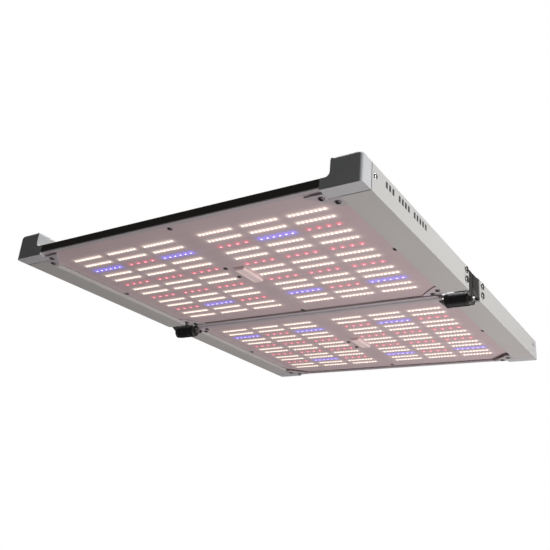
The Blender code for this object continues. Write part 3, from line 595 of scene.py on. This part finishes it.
def add_round(name, radius, start, end, sides=32):
    """A round bar between two points on one axis."""
    start, end = Vector(start), Vector(end)
    bpy.ops.object.select_all(action="DESELECT")
    bpy.ops.mesh.primitive_cylinder_add(
        vertices=sides,
        radius=radius,
        depth=(end - start).length,
        location=(start + end) / 2,
        rotation=(end - start).to_track_quat("Z", "Y").to_euler(),
    )
    return named(name)


def select(piece, kind, test):
    """Goes into edit mode with the faces, or edges, that pass a test of their places."""
    only(piece)
    bpy.ops.object.mode_set(mode="EDIT")
    bpy.ops.mesh.select_mode(type=kind)
    bpy.ops.mesh.select_all(action="DESELECT")
    bpy.ops.object.mode_set(mode="OBJECT")
    mesh = piece.data
    if kind == "FACE":
        for face in mesh.polygons:
            face.select = test(face.center, face.normal)
    else:
        for edge in mesh.edges:
            first, second = (mesh.vertices[i].co for i in edge.vertices)
            edge.select = test(first, second)
    bpy.ops.object.mode_set(mode="EDIT")


def leave():
    """Goes back to object mode."""
    bpy.ops.object.mode_set(mode="OBJECT")


def push(offset):
    """Extrudes what is selected by an offset."""
    bpy.ops.mesh.extrude_region_move(TRANSFORM_OT_translate={"value": tuple(offset)})


def swell(distance):
    """Extrudes what is selected along its normals, inwards where the distance is negative."""
    bpy.ops.mesh.extrude_region_shrink_fatten(TRANSFORM_OT_shrink_fatten={"value": distance})


def slice_at(piece, places, normal):
    """Cuts edges round a piece, at places along a normal."""
    for place in places:
        select(piece, "FACE", lambda middle, facing: True)
        bpy.ops.mesh.bisect(plane_co=tuple(Vector(normal) * place), plane_no=normal)
        leave()


def modify(piece, kind, **settings):
    """Adds a modifier and applies it."""
    only(piece)
    modifier = piece.modifiers.new(kind.lower(), kind)
    for key, value in settings.items():
        setattr(modifier, key, value)
    bpy.ops.object.modifier_apply(modifier=modifier.name)


def smooth(piece, angle=35):
    """Shades a piece smooth, with its sharp edges kept."""
    only(piece)
    bpy.ops.object.shade_smooth_by_angle(angle=math.radians(angle))
    modify(piece, "WEIGHTED_NORMAL", keep_sharp=True)


def soften(piece, width, segments=2, angle=30):
    """Breaks the sharp edges of a piece."""
    modify(
        piece,
        "BEVEL",
        width=width,
        segments=segments,
        limit_method="ANGLE",
        angle_limit=math.radians(angle),
        harden_normals=False,
    )
    smooth(piece)


def cut(piece, *tools):
    """Cuts pieces out of another, and removes them."""
    for tool in tools:
        modify(piece, "BOOLEAN", operation="DIFFERENCE", solver="EXACT", object=tool)
        bpy.data.objects.remove(tool)


def join(pieces, name):
    """Joins several pieces into the first one."""
    bpy.ops.object.select_all(action="DESELECT")
    for piece in pieces:
        piece.select_set(True)
    bpy.context.view_layer.objects.active = pieces[0]
    bpy.ops.object.join()
    pieces[0].name = pieces[0].data.name = name
    return pieces[0]


def copy_to(source, name, place, facing=DOWN):
    """A copy of a piece that was made at the origin facing down, moved and turned."""
    copy = source.copy()
    copy.data = source.data.copy()
    copy.name = copy.data.name = name
    bpy.context.scene.collection.objects.link(copy)
    copy.location = place
    copy.rotation_euler = Vector(DOWN).rotation_difference(Vector(facing)).to_euler()
    only(copy)
    bpy.ops.object.transform_apply(location=True, rotation=True, scale=True)
    return copy


def carry(node, name):
    """A piece with a CAD node's shape, its loose triangles merged into whole faces."""
    piece = bpy.data.objects.new(name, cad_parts[node].data.copy())
    bpy.context.scene.collection.objects.link(piece)
    piece.data.name = name
    select(piece, "FACE", lambda middle, facing: True)
    bpy.ops.mesh.remove_doubles(threshold=1e-6)
    bpy.ops.mesh.select_all(action="SELECT")
    bpy.ops.mesh.dissolve_limited(angle_limit=math.radians(0.5))
    bpy.ops.mesh.customdata_custom_splitnormals_clear()
    leave()
    return piece


def show(piece, body, slot, finishes, *nodes):
    """Puts a finished piece on its body, with its finishes, in place of its CAD nodes."""
    for number, finish in enumerate(finishes):
        if number < len(piece.data.materials):
            piece.data.materials[number] = finish
        else:
            piece.data.materials.append(finish)
    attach(piece, body)
    if nodes:
        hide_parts(*nodes)
    return piece


# ----------------------------------------------------------------------------------- screws


def make_screw_patterns():
    """The screws that are copied about the lamp, each facing down at the origin."""
    return {
        "pan": make_pan_screw("pan_screw_pattern", 0.0035, 0.0022),
        "flat": make_pan_screw("flat_screw_pattern", 0.0034, 0.0013),
        "tab": make_pan_screw("tab_screw_pattern", 0.0037, 0.0018),
        "leaf": make_pan_screw("leaf_screw_pattern", 0.0054, 0.0022),
        "small": make_pan_screw("small_screw_pattern", 0.0026, 0.0015),
    }


def make_pan_screw(name, radius, height):
    """A rounded screw head with a cross recess, standing proud by its height."""
    head = add_round(name, radius, (0, 0, 0.0004), (0, 0, -height), 24)
    select(head, "EDGE", lambda first, second: max(first.z, second.z) < -height + 1e-6)
    bpy.ops.mesh.bevel(offset=min(height * 0.75, radius * 0.45), segments=4, profile=0.5)
    leave()
    arm, width, depth = radius * 0.62, radius * 0.17, height * 0.62
    tools = []
    for reach in ((arm, width), (width, arm)):
        low = (-reach[0], -reach[1], -height - 0.0005)
        high = (reach[0], reach[1], -height + depth)
        tool = add_block(f"{name}_tool", low, high)
        select(tool, "FACE", lambda middle, facing: facing.z > 0.9)
        bpy.ops.transform.resize(value=(0.55, 0.55, 1))
        leave()
        tools.append(tool)
    cut(head, *tools)
    smooth(head, 40)
    return head


def place_screws(patterns, finishes):
    """The screws of the boards, tabs, gussets, caps, hangers and driver."""
    for panel_name, panel in PANELS.items():
        body = f"{panel_name}_panel"
        on_board = [(x, panel * y) for x, y in BOARD_SCREWS]
        on_board += [(x, panel * (PANEL_MIDDLE + step)) for x, step in COVER_SCREWS]
        for number, (x, y) in enumerate(on_board, 1):
            name = f"{panel_name}_board_screw_{number}"
            screw = copy_to(patterns["flat"], name, (x, y, BOARD_FACE))
            show(screw, body, "screw_dark", [finishes["dark_screw"]])
        for side_name, side in SIDES.items():
            corner = f"{panel_name}_{side_name}"
            for kind, places, level in (
                ("tab", TAB_SCREWS, FRAME_LOW),
                ("gusset", GUSSET_SCREWS, GUSSET_FACE),
            ):
                for number, (x, y) in enumerate(places, 1):
                    name = f"{corner}_{kind}_screw_{number}"
                    screw = copy_to(patterns["tab"], name, (side * x, panel * y, level))
                    show(screw, body, "screw_dark", [finishes["dark_screw"]])
            outward = (side, 0, 0)
            cap_screw_z = BOARD_FACE + CAP_SCREW_ABOVE_BOARD
            place = (side * HALF_WIDTH, panel * CAP_SCREW_Y, cap_screw_z)
            screw = copy_to(patterns["pan"], f"{corner}_cap_screw", place, outward)
            show(screw, body, "screw_steel", [finishes["bright_screw"]])
            for level in ("upper", "lower"):
                node = f"{corner}_{level}_leaf_screw"
                low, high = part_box(node)
                centre = (low + high) / 2
                place = (side * (HALF_WIDTH + 0.0002), centre.y, centre.z)
                screw = copy_to(patterns["leaf"], f"{node}_head", place, outward)
                show(screw, body, "screw_steel", [finishes["plated_screw"]], node)
            low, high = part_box(f"{corner}_hanger")
            for number, step in enumerate((-HANGER_SCREW_STEP, HANGER_SCREW_STEP), 1):
                middle = (low.y + high.y) / 2
                place = (side * HANGER_SCREW_X, middle + step, low.z + HANGER_FOOT)
                screw = copy_to(patterns["small"], f"{corner}_hanger_screw_{number}", place, UP)
                show(screw, body, "screw_dark", [finishes["dark_screw"]])
    for side_name, side in SIDES.items():
        low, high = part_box(f"driver_{side_name}_cover")
        face = max(abs(low.x), abs(high.x))
        number = 0
        for y in (low.y + COVER_SCREW_INSET, high.y - COVER_SCREW_INSET):
            for z in (low.z + COVER_SCREW_INSET, high.z - COVER_SCREW_INSET):
                number += 1
                place = (side * face, y, z)
                name = f"driver_{side_name}_cover_screw_{number}"
                screw = copy_to(patterns["small"], name, place, (side, 0, 0))
                show(screw, "front_panel", "screw_dark", [finishes["dark_screw"]])
    for pattern in patterns.values():
        bpy.data.objects.remove(pattern)


# ----------------------------------------------------------------------------- boards and LEDs


def group_colour(row, column):
    """The colour of one LED group, counted from the -Y row and the -X column."""
    if row % 3 != 2:
        return "white"
    if row == 2:
        return "blue" if column % 2 == 0 else "red"
    if row == 11:
        return "red" if column % 2 == 0 else "blue"
    return "red"


def make_led(name, finishes, colour):
    """One LED at the origin, facing down: a case with a lit pocket."""
    half = Vector((LED_LENGTH / 2, LED_WIDTH / 2, 0))
    led = add_block(name, -half - Vector((0, 0, LED_HEIGHT)), half + Vector((0, 0, 0.0001)))
    led.data.materials.append(finishes[f"{colour}_chip"])
    led.data.materials.append(finishes[f"{colour}_core"])
    modify(led, "BEVEL", width=0.00012, segments=1, limit_method="ANGLE")
    select(led, "FACE", lambda middle, facing: facing.z < -0.9)
    bpy.ops.mesh.inset(thickness=0.00022)
    push((0, 0, 0.00012))
    led.active_material_index = 1
    bpy.ops.object.material_slot_assign()
    leave()
    return led


def make_boards(finishes):
    """The two LED boards, each with its white, red and blue LEDs."""
    for panel_name, panel in PANELS.items():
        body = f"{panel_name}_panel"
        node = f"{panel_name}_led_board"
        low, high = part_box(node)
        board = add_block(f"{panel_name}_board", (low.x, low.y, BOARD_FACE), high)
        notch_x = FOOT_INNER - 0.0006
        notch_y = CAP_START - 0.0006
        tools = []
        for side in SIDES.values():
            ends = sorted((side * notch_x, side * (high.x + 0.01)))
            depths = sorted((panel * notch_y, panel * (HALF_DEPTH + 0.01)))
            low_corner = (ends[0], depths[0], BOARD_FACE - 0.01)
            high_corner = (ends[1], depths[1], BOARD_FACE + 0.01)
            tools.append(add_block("corner_tool", low_corner, high_corner))
        cut(board, *tools)
        soften(board, 0.0002, 1)
        show(board, body, "board_white", [finishes[f"{panel_name}_board"]], node)

        start = FIRST_ROW if panel > 0 else -FIRST_ROW - (LED_ROWS - 1) * ROW_PITCH
        for colour, (count, pitch) in LED_GROUPS.items():
            strip = make_led(f"{colour}_led_strip", finishes, colour)
            modify(
                strip,
                "ARRAY",
                count=count,
                use_relative_offset=False,
                use_constant_offset=True,
                constant_offset_displace=(pitch, 0, 0),
            )
            strips = []
            for row in range(LED_ROWS):
                for column, x in enumerate(LED_COLUMNS):
                    if group_colour(row, column) != colour:
                        continue
                    copy = strip.copy()
                    copy.data = strip.data.copy()
                    bpy.context.scene.collection.objects.link(copy)
                    first = x - (count - 1) / 2 * pitch
                    copy.location = (first, start + row * ROW_PITCH, BOARD_FACE)
                    strips.append(copy)
            bpy.data.objects.remove(strip)
            leds = join(strips, f"{panel_name}_{colour}_leds")
            only(leds)
            bpy.ops.object.transform_apply(location=True, rotation=True, scale=True)
            case, core = finishes[f"{colour}_chip"], finishes[f"{colour}_core"]
            show(leds, body, "board_white", [case, core])


def make_wire_covers(finishes):
    """The pale blocks over the wires, with a sunk panel and wire slots at their ends."""
    for panel_name in PANELS:
        node = f"{panel_name}_wire_cover"
        low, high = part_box(node)
        cover = add_block(f"{node}_moulding", low, high)
        modify(cover, "BEVEL", width=0.0011, segments=3, limit_method="ANGLE")
        select(cover, "FACE", lambda middle, facing: facing.z < -0.99)
        bpy.ops.mesh.inset(thickness=0.0012)
        bpy.ops.mesh.inset(thickness=0.0003)
        push((0, 0, 0.0003))
        leave()
        slots = []
        for end in (low.y, high.y):
            for x in (low.x + 0.005, high.x - 0.005):
                corner = Vector((x, end, high.z))
                reach = Vector((0.0013, 0.0014, 0.0022))
                slots.append(add_block("slot_tool", corner - reach, corner + reach))
        cut(cover, *slots)
        smooth(cover)
        show(cover, f"{panel_name}_panel", "cover_plastic", [finishes["cover"]], node)


# -------------------------------------------------------------------------------- frame pieces


def make_frame_pieces(finishes):
    """Rails, caps, bars, gussets, plates and hangers, with their edges broken."""
    for panel_name, panel in PANELS.items():
        body = f"{panel_name}_panel"
        for side_name, side in SIDES.items():
            corner = f"{panel_name}_{side_name}"
            for part, width, slot, finish in (
                ("rail", 0.0005, "rail_paint", "rail"),
                ("gusset", 0.0003, "board_white", "gusset"),
                ("hanger", 0.0004, "leaf_steel", "leaf"),
            ):
                node = f"{corner}_{part}"
                piece = carry(node, f"{node}_shaped")
                if part == "rail":
                    add_shaded_joint_groove(piece, panel)
                soften(piece, width)
                # A rail's groove faces take the black nylon as painted shade.
                show(piece, body, slot, [finishes[finish], finishes["nylon"]], node)
            make_end_cap(f"{corner}_end_cap", body, panel, side, finishes)
        make_edge_bars(panel_name, panel, finishes)
        node = f"{panel_name}_back_plate"
        plate = carry(node, f"{node}_shaped")
        soften(plate, 0.0003, 1)
        show(plate, body, "plate_aluminium", [finishes["aluminium"]], node)
        add_plate_details(panel_name, panel, finishes)


def add_plate_details(panel_name, panel, finishes):
    """Stiffening beads and the nuts of the board screws, on top of a back plate."""
    body, top = f"{panel_name}_panel", PLATE_TOP
    beads = []
    for distance in BEAD_PLACES:
        low = (-BEAD_REACH, panel * distance - BEAD_HALF_WIDTH, top - 0.0008)
        high = (BEAD_REACH, panel * distance + BEAD_HALF_WIDTH, top + 0.0024)
        bead = add_block("plate_bead", low, high)
        select(bead, "FACE", lambda m, n: n.z > 0.9)
        bpy.ops.transform.resize(value=(0.98, 0.55, 1))
        leave()
        soften(bead, 0.0011, 3)
        beads.append(bead)
    show(join(beads, f"{panel_name}_plate_beads"), body, "plate_aluminium", [finishes["aluminium"]])
    nuts = []
    places = [*BOARD_SCREWS, *((x, PANEL_MIDDLE + step) for x, step in COVER_SCREWS)]
    for x, y in places:
        foot = Vector((x, panel * y, top - 0.0002))
        if abs(x) < 0.2 and UNDER_DRIVER[0] < y < UNDER_DRIVER[1] and panel < 0:
            continue
        nut = add_round("plate_nut", NUT_RADIUS, foot, foot + Vector((0, 0, NUT_HEIGHT)), 6)
        bore = add_round("nut_bore", NUT_BORE, foot, foot + Vector((0, 0, 0.004)), 16)
        cut(nut, bore)
        soften(nut, 0.0003)
        nuts.append(nut)
    show(join(nuts, f"{panel_name}_plate_nuts"), body, "plate_aluminium", [finishes["bright_screw"]])


def add_shaded_joint_groove(rail, panel):
    """A thin groove at a rail's outer end, a little below its surface, painted black as the shade in its
    joint with the cap.
    """
    start = CAP_START - CAP_GAP - JOINT_GROOVE_WIDTH
    slice_at(rail, (panel * start,), (0, 1, 0))
    select(rail, "FACE", lambda m, n: abs(m.y) > start and abs(n.y) < 0.5 and is_outside(m, n))
    swell(-JOINT_GROOVE_DEPTH)
    leave()
    rail.data.materials.append(rail.data.materials[0])
    for face in rail.data.polygons:
        middle = face.center
        face.material_index = int(abs(middle.y) > start and is_outside(middle, face.normal))


def is_outside(middle, normal):
    """True for a face on the outside of a hollow rail."""
    low = Vector((RAIL_INNER, 0, FRAME_LOW))
    high = Vector((HALF_WIDTH, 0, FRAME_TOP))
    centre = (low + high) / 2
    offset = Vector((abs(middle.x) - centre.x, 0, middle.z - centre.z))
    facing = Vector((math.copysign(normal.x, normal.x * middle.x), 0, normal.z))
    return offset.dot(facing) > 0 and abs(normal.y) < 0.5


def make_end_cap(node, body, panel, side, finishes):
    """An end cap, with a parting line round the tab under the board's corner."""
    cap = carry(node, f"{node}_shaped")
    soften(cap, 0.0006)
    groove = 0.0007
    under = FRAME_LOW + 0.0001
    foot = FOOT_INNER
    for place, normal, test in (
        (side * foot, (1, 0, 0), lambda m: abs(m.y) > CAP_START),
        (panel * CAP_START, (0, 1, 0), lambda m: foot < abs(m.x) < RAIL_INNER),
    ):
        slice_at(cap, (place, place - math.copysign(groove, place)), normal)
        first, second = sorted((abs(place), abs(place) - groove))
        axis = normal.index(1)
        select(
            cap,
            "FACE",
            lambda m, n: m.z < under and n.z < -0.9 and first < abs(m[axis]) < second and test(m),
        )
        swell(-0.0008)
        leave()
    for face in cap.data.polygons:
        middle = face.center
        on_tab = abs(middle.x) < foot or (abs(middle.y) < CAP_START and abs(middle.x) < RAIL_INNER)
        face.material_index = int(on_tab and middle.z < FRAME_LOW + 0.003)
    smooth(cap)
    show(cap, body, "cap_plastic", [finishes["cap"], finishes["rim"]], node)


def make_edge_bars(panel_name, panel, finishes):
    """A panel's two edge bars: the outer one is black on its outside and top, pale below, with a painted
    highlight on its lower outer chamfer.
    """
    for part in ("outer_edge_bar", "seam_bar"):
        node = f"{panel_name}_{part}"
        bar = carry(node, f"{node}_shaped")
        soften(bar, 0.0005)
        outer = part == "outer_edge_bar"
        for extra in ("bar", "painted_highlight_edge"):
            bar.data.materials.append(finishes[extra])
        for face in bar.data.polygons:
            outward = face.normal.y * panel
            if outer and (outward > 0.9 or face.normal.z > 0.5):
                face.material_index = 1
            # The lower outer chamfer takes the painted highlight.
            elif outer and outward > 0.2 and face.normal.z < -0.3:
                face.material_index = 2
        looks = [finishes["rim"], finishes["bar"], finishes["painted_highlight_edge"]]
        show(bar, f"{panel_name}_panel", "bar_black" if outer else "rail_paint", looks, node)


# ------------------------------------------------------------------------------------- hinges


def make_hinges(finishes):
    """Leaves, barrels, collars, bolts and nuts of the two friction hinges."""
    for side_name, side in SIDES.items():
        outward = Vector((side, 0, 0))
        for part, body in (("fixed_leaf", "front_panel"), ("moving_leaf", "rear_panel")):
            node = f"{side_name}_hinge_{part}"
            leaf = carry(node, f"{node}_shaped")
            soften(leaf, 0.00035)
            show(leaf, body, "leaf_steel", [finishes["leaf"]], node)

        node = f"{side_name}_hinge_barrel"
        low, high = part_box(node)
        middle = (low + high) / 2
        radius = (high.z - low.z) / 2
        near, far = (abs(low.x), abs(high.x)) if side > 0 else (abs(high.x), abs(low.x))
        start = Vector((side * near, middle.y, middle.z))
        end = Vector((side * far, middle.y, middle.z))
        barrel = add_round(f"{node}_turned", radius, start, end, 48)
        edge = 1e-5
        select(
            barrel,
            "EDGE",
            lambda a, b: abs(a.x - b.x) < edge and (a - b).length < radius,
        )
        bpy.ops.mesh.bevel(offset=0.0008, segments=3, profile=0.5)
        leave()
        for groove in (0.0045, far - near - 0.0045):
            first = side * (near + groove - 0.0004)
            second = side * (near + groove + 0.0004)
            slice_at(barrel, (first, second), (1, 0, 0))
            between = sorted((first, second))
            select(
                barrel,
                "FACE",
                lambda m, n: between[0] < m.x < between[1] and abs(n.x) < 0.5,
            )
            swell(-0.0004)
            leave()
        smooth(barrel)
        show(barrel, "front_panel", "barrel_black", [finishes["barrel"]], node)

        node = f"{side_name}_hinge_collar"
        collar = carry(node, f"{node}_turned")
        soften(collar, 0.0003)
        show(collar, "front_panel", "barrel_black", [finishes["barrel"]], node)

        node = f"{side_name}_hinge_nut"
        nut = carry(node, f"{node}_turned")
        soften(nut, 0.0005)
        show(nut, "front_panel", "screw_dark", [finishes["plated_screw"]], node)

        node = f"{side_name}_hinge_bolt"
        bolt = carry(node, f"{node}_turned")
        low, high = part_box(node)
        tip = Vector((side * max(abs(low.x), abs(high.x)), middle.y, middle.z))
        socket = add_round("socket_tool", 0.0026, tip - outward * 0.0022, tip + outward * 0.002, 6)
        cut(bolt, socket)
        soften(bolt, 0.0002)
        show(bolt, "front_panel", "screw_dark", [finishes["plated_screw"]], node)


# ------------------------------------------------------------------------------------- driver


def make_driver(finishes):
    """The driver's ribbed case, its covers and channels, and the circuit board inside."""
    node = "driver_housing"
    low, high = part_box(node)
    case = add_block("driver_case", low, high)
    select(case, "EDGE", lambda a, b: abs(a.x - b.x) > 0.1)
    bpy.ops.mesh.bevel(offset=0.005, segments=5, profile=0.5)
    leave()
    pitch, groove, depth = 0.0062, 0.0028, 0.0014
    span = high.y - low.y - 0.014
    count = int(span / pitch)
    first = (low.y + high.y) / 2 - (count - 1) / 2 * pitch
    for number in range(count):
        centre = first + number * pitch
        slice_at(case, (centre - groove / 2, centre + groove / 2), (0, 1, 0))
    select(
        case,
        "FACE",
        lambda m, n: n.z > 0.9 and abs((m.y - first + pitch / 2) % pitch - pitch / 2) < groove / 4,
    )
    swell(-depth)
    leave()
    soften(case, 0.0003, 1)
    show(case, "front_panel", "driver_paint", [finishes["driver"]], node)

    for side_name in SIDES:
        node = f"driver_{side_name}_cover"
        cover = carry(node, f"{node}_shaped")
        soften(cover, 0.0008)
        show(cover, "front_panel", "driver_paint", [finishes["driver"]], node)
        node = f"driver_{side_name}_channel"
        channel = carry(node, f"{node}_shaped")
        soften(channel, 0.0003)
        show(channel, "front_panel", "plate_aluminium", [finishes["aluminium"]], node)

    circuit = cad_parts["driver_circuit_board"]
    circuit.data.materials.clear()
    circuit.data.materials.append(finishes["circuit"])


def make_glands(finishes):
    """The cable glands: a hexagon foot, a ribbed cap nut and a plug in its mouth."""
    places = {
        "driver_front_outlet_gland": ("front_panel", (-1, 0, 0)),
        "driver_rear_outlet_gland": ("front_panel", (-1, 0, 0)),
        "driver_mains_gland": ("front_panel", (-1, 0, 0)),
        "front_inlet_gland": ("front_panel", (0, 0, 1)),
        "rear_inlet_gland": ("rear_panel", (0, 0, 1)),
    }
    for node, (body, facing) in places.items():
        low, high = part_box(node)
        facing = Vector(facing)
        length = abs((high - low).dot(facing))
        foot = (low + high) / 2 - facing * (length / 2)
        hexagon = add_round(f"{node}_foot", 0.0074, foot, foot + facing * 0.0042, 6)
        soften(hexagon, 0.0005)
        cap = add_round(f"{node}_cap", 0.0062, foot + facing * 0.0041, foot + facing * length, 24)
        top = foot + facing * length
        select(cap, "FACE", lambda m, n: n.dot(facing) > 0.9)
        bpy.ops.mesh.inset(thickness=0.0030)
        bpy.ops.mesh.inset(thickness=0.0003)
        push(facing * -0.0012)
        leave()
        select(
            cap,
            "EDGE",
            lambda a, b: min((a - top).dot(facing), (b - top).dot(facing)) > -1e-5
            and min((a - top).length, (b - top).length) > 0.0055,
        )
        bpy.ops.mesh.bevel(offset=0.0018, segments=3, profile=0.5)
        leave()
        select(
            cap,
            "FACE",
            lambda m, n: abs(n.dot(facing)) < 0.1
            and (m - foot - facing * (m - foot).dot(facing)).length > 0.0055
            and rib_number(m - foot, facing) % 2 == 0,
        )
        bpy.ops.mesh.inset(thickness=0.0003, use_individual=True)
        swell(-0.0005)
        leave()
        smooth(hexagon)
        smooth(cap, 30)
        gland = join([hexagon, cap], f"{node}_moulding")
        show(gland, body, "gland_plastic", [finishes["nylon"]], node)


def rib_number(offset, facing):
    """Which of the 24 flat sides of a round piece an offset from its axis points to."""
    across = facing.orthogonal().normalized()
    other = facing.cross(across)
    turn = math.atan2(offset.dot(other), offset.dot(across)) / math.tau * 24
    return math.floor(turn + 24)


def knob_side(offset):
    """Which flat side of the knob an offset from its axis points to."""
    turn = math.atan2(offset.z, offset.y) / math.tau
    return int(turn * KNOB_SIDES + KNOB_SIDES)


def make_knob(finishes):
    """The fluted dimmer knob with its pointer, and the dial printed round it."""
    low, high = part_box("dimmer_knob")
    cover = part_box("driver_right_cover")[1].x
    axis = Vector((1, 0, 0))
    centre = Vector((cover, (low.y + high.y) / 2, (low.z + high.z) / 2))
    face = centre + axis * KNOB_LENGTH
    knob = add_round("dimmer_knob_fluted", KNOB_RADIUS, centre + axis * 0.0008, face, KNOB_SIDES)
    shaft = add_round("dimmer_shaft", 0.003, centre - axis * 0.0036, centre + axis * 0.001, 16)
    select(knob, "EDGE", lambda a, b: min(a.x, b.x) > face.x - 1e-5)
    bpy.ops.mesh.bevel(offset=0.0014, segments=3, profile=0.5)
    leave()
    select(
        knob,
        "FACE",
        lambda m, n: abs(n.x) < 0.1 and knob_side(m - centre) % KNOB_FLUTES == 0,
    )
    bpy.ops.mesh.inset(thickness=0.0002, use_individual=True)
    swell(-0.0008)
    leave()
    select(knob, "FACE", lambda m, n: n.x > 0.99)
    bpy.ops.mesh.inset(thickness=0.0012)
    push((-0.0004, 0, 0))
    leave()
    smooth(knob, 30)
    body = join([knob, shaft], "dimmer_knob_fluted")
    show(body, "dimmer_knob", "gland_plastic", [finishes["nylon"]], "dimmer_knob")
    corner = Vector((face.x - 0.0008, centre.y - 0.0006, centre.z + 0.0022))
    pointer = add_block("dimmer_pointer", corner, corner + Vector((0.0012, 0.0012, 0.0048)))
    soften(pointer, 0.0002, 1)
    show(pointer, "dimmer_knob", "gland_plastic", [finishes["pale_ink"]])
    ticks = []
    for step in range(DIAL_TICKS):
        angle = math.radians(90 + DIAL_SWEEP / 2 - DIAL_SWEEP / (DIAL_TICKS - 1) * step)
        long_tick = step in (0, DIAL_TICKS - 1)
        tick = add_block(
            "tick",
            (cover - 0.0002, -0.0004, 0.0105),
            (cover + PRINT_THICKNESS, 0.0004, 0.0138 if long_tick else 0.0126),
        )
        tick.rotation_euler = (angle - math.pi / 2, 0, 0)
        tick.location = (0, centre.y, centre.z)
        only(tick)
        bpy.ops.object.transform_apply(location=True, rotation=True, scale=True)
        ticks.append(tick)
    dial = join(ticks, "dimmer_dial_ticks")
    show(dial, "front_panel", "driver_paint", [finishes["pale_ink"]])


def make_rail_print(finishes):
    """A plain row of printed bars in three groups on the front right rail."""
    bars = []
    spaces = sum(PRINT_GROUPS) + len(PRINT_GROUPS) - 1
    pitch = (PRINT_END - PRINT_START) / spaces
    y = PRINT_START
    for group in PRINT_GROUPS:
        for _ in range(group):
            bar = add_block(
                "printed_bar",
                (HALF_WIDTH - 0.0003, y + pitch * 0.10, PRINT_LOW),
                (HALF_WIDTH + PRINT_THICKNESS, y + pitch * 0.66, PRINT_HIGH),
            )
            bars.append(bar)
            y += pitch
        y += pitch
    print_marks = join(bars, "front_right_rail_print")
    soften(print_marks, 0.0001, 1)
    show(print_marks, "front_panel", "rail_paint", [finishes["dark_ink"]])


# ------------------------------------------------------------------------------ floor and light


def make_floor():
    """The plain pale floor, well below the hanging lamp."""
    bpy.ops.object.select_all(action="DESELECT")
    bpy.ops.mesh.primitive_plane_add(size=16, location=(0, 0, FLOOR_LEVEL))
    floor = named("floor")
    floor.visible_diffuse = floor.visible_glossy = False
    floor.data.materials.append(floor_finish().material)


def make_light(name, place, size, power, colour=(1, 1, 1)):
    """A soft area lamp that faces the middle of the grow light."""
    data = bpy.data.lights.new(name, "AREA")
    data.shape = "RECTANGLE"
    data.size, data.size_y = size
    data.energy = power
    data.color = colour
    light = bpy.data.objects.new(name, data)
    light.location = place
    light.rotation_euler = (-Vector(place)).to_track_quat("-Z", "Y").to_euler()
    bpy.context.scene.collection.objects.link(light)


def make_studio():
    """Soft lamps, and a white surround that lights the lamp only a little."""
    make_light("key_right", (2.2, -0.26, 0.2), (1.1, 1.1), 35)
    make_light("fill_below", (0.7, 0.4, -1.5), (1.8, 1.8), 30, (1.0, 0.94, 0.94))
    make_light("top", (0.0, 0.3, 2.6), (1.4, 1.4), 70)
    make_light("behind", (-1.4, 2.2, 0.5), (1.4, 1.0), 9)
    make_light("left", (-2.2, 0.2, 0.3), (1.4, 1.0), 10)
    world = bpy.data.worlds.new("studio")
    bpy.context.scene.world = world
    world.use_nodes = True
    nodes, links = world.node_tree.nodes, world.node_tree.links
    nodes.clear()
    seen, dim, rays, blend, output = (
        nodes.new(kind)
        for kind in (
            "ShaderNodeBackground",
            "ShaderNodeBackground",
            "ShaderNodeLightPath",
            "ShaderNodeMixShader",
            "ShaderNodeOutputWorld",
        )
    )
    seen.inputs["Color"].default_value = (1, 1, 1, 1)
    dim.inputs["Color"].default_value = (1, 0.99, 0.97, 1)
    dim.inputs["Strength"].default_value = 0.054
    links.new(rays.outputs["Is Camera Ray"], blend.inputs[0])
    links.new(dim.outputs[0], blend.inputs[1])
    links.new(seen.outputs[0], blend.inputs[2])
    links.new(blend.outputs[0], output.inputs[0])
    bpy.context.scene.view_settings.view_transform = "Standard"


make_camera()
finishes = make_finishes()
make_boards(finishes)
make_wire_covers(finishes)
make_frame_pieces(finishes)
make_hinges(finishes)
make_driver(finishes)
make_glands(finishes)
make_knob(finishes)
make_rail_print(finishes)
place_screws(make_screw_patterns(), finishes)
make_floor()
make_studio()
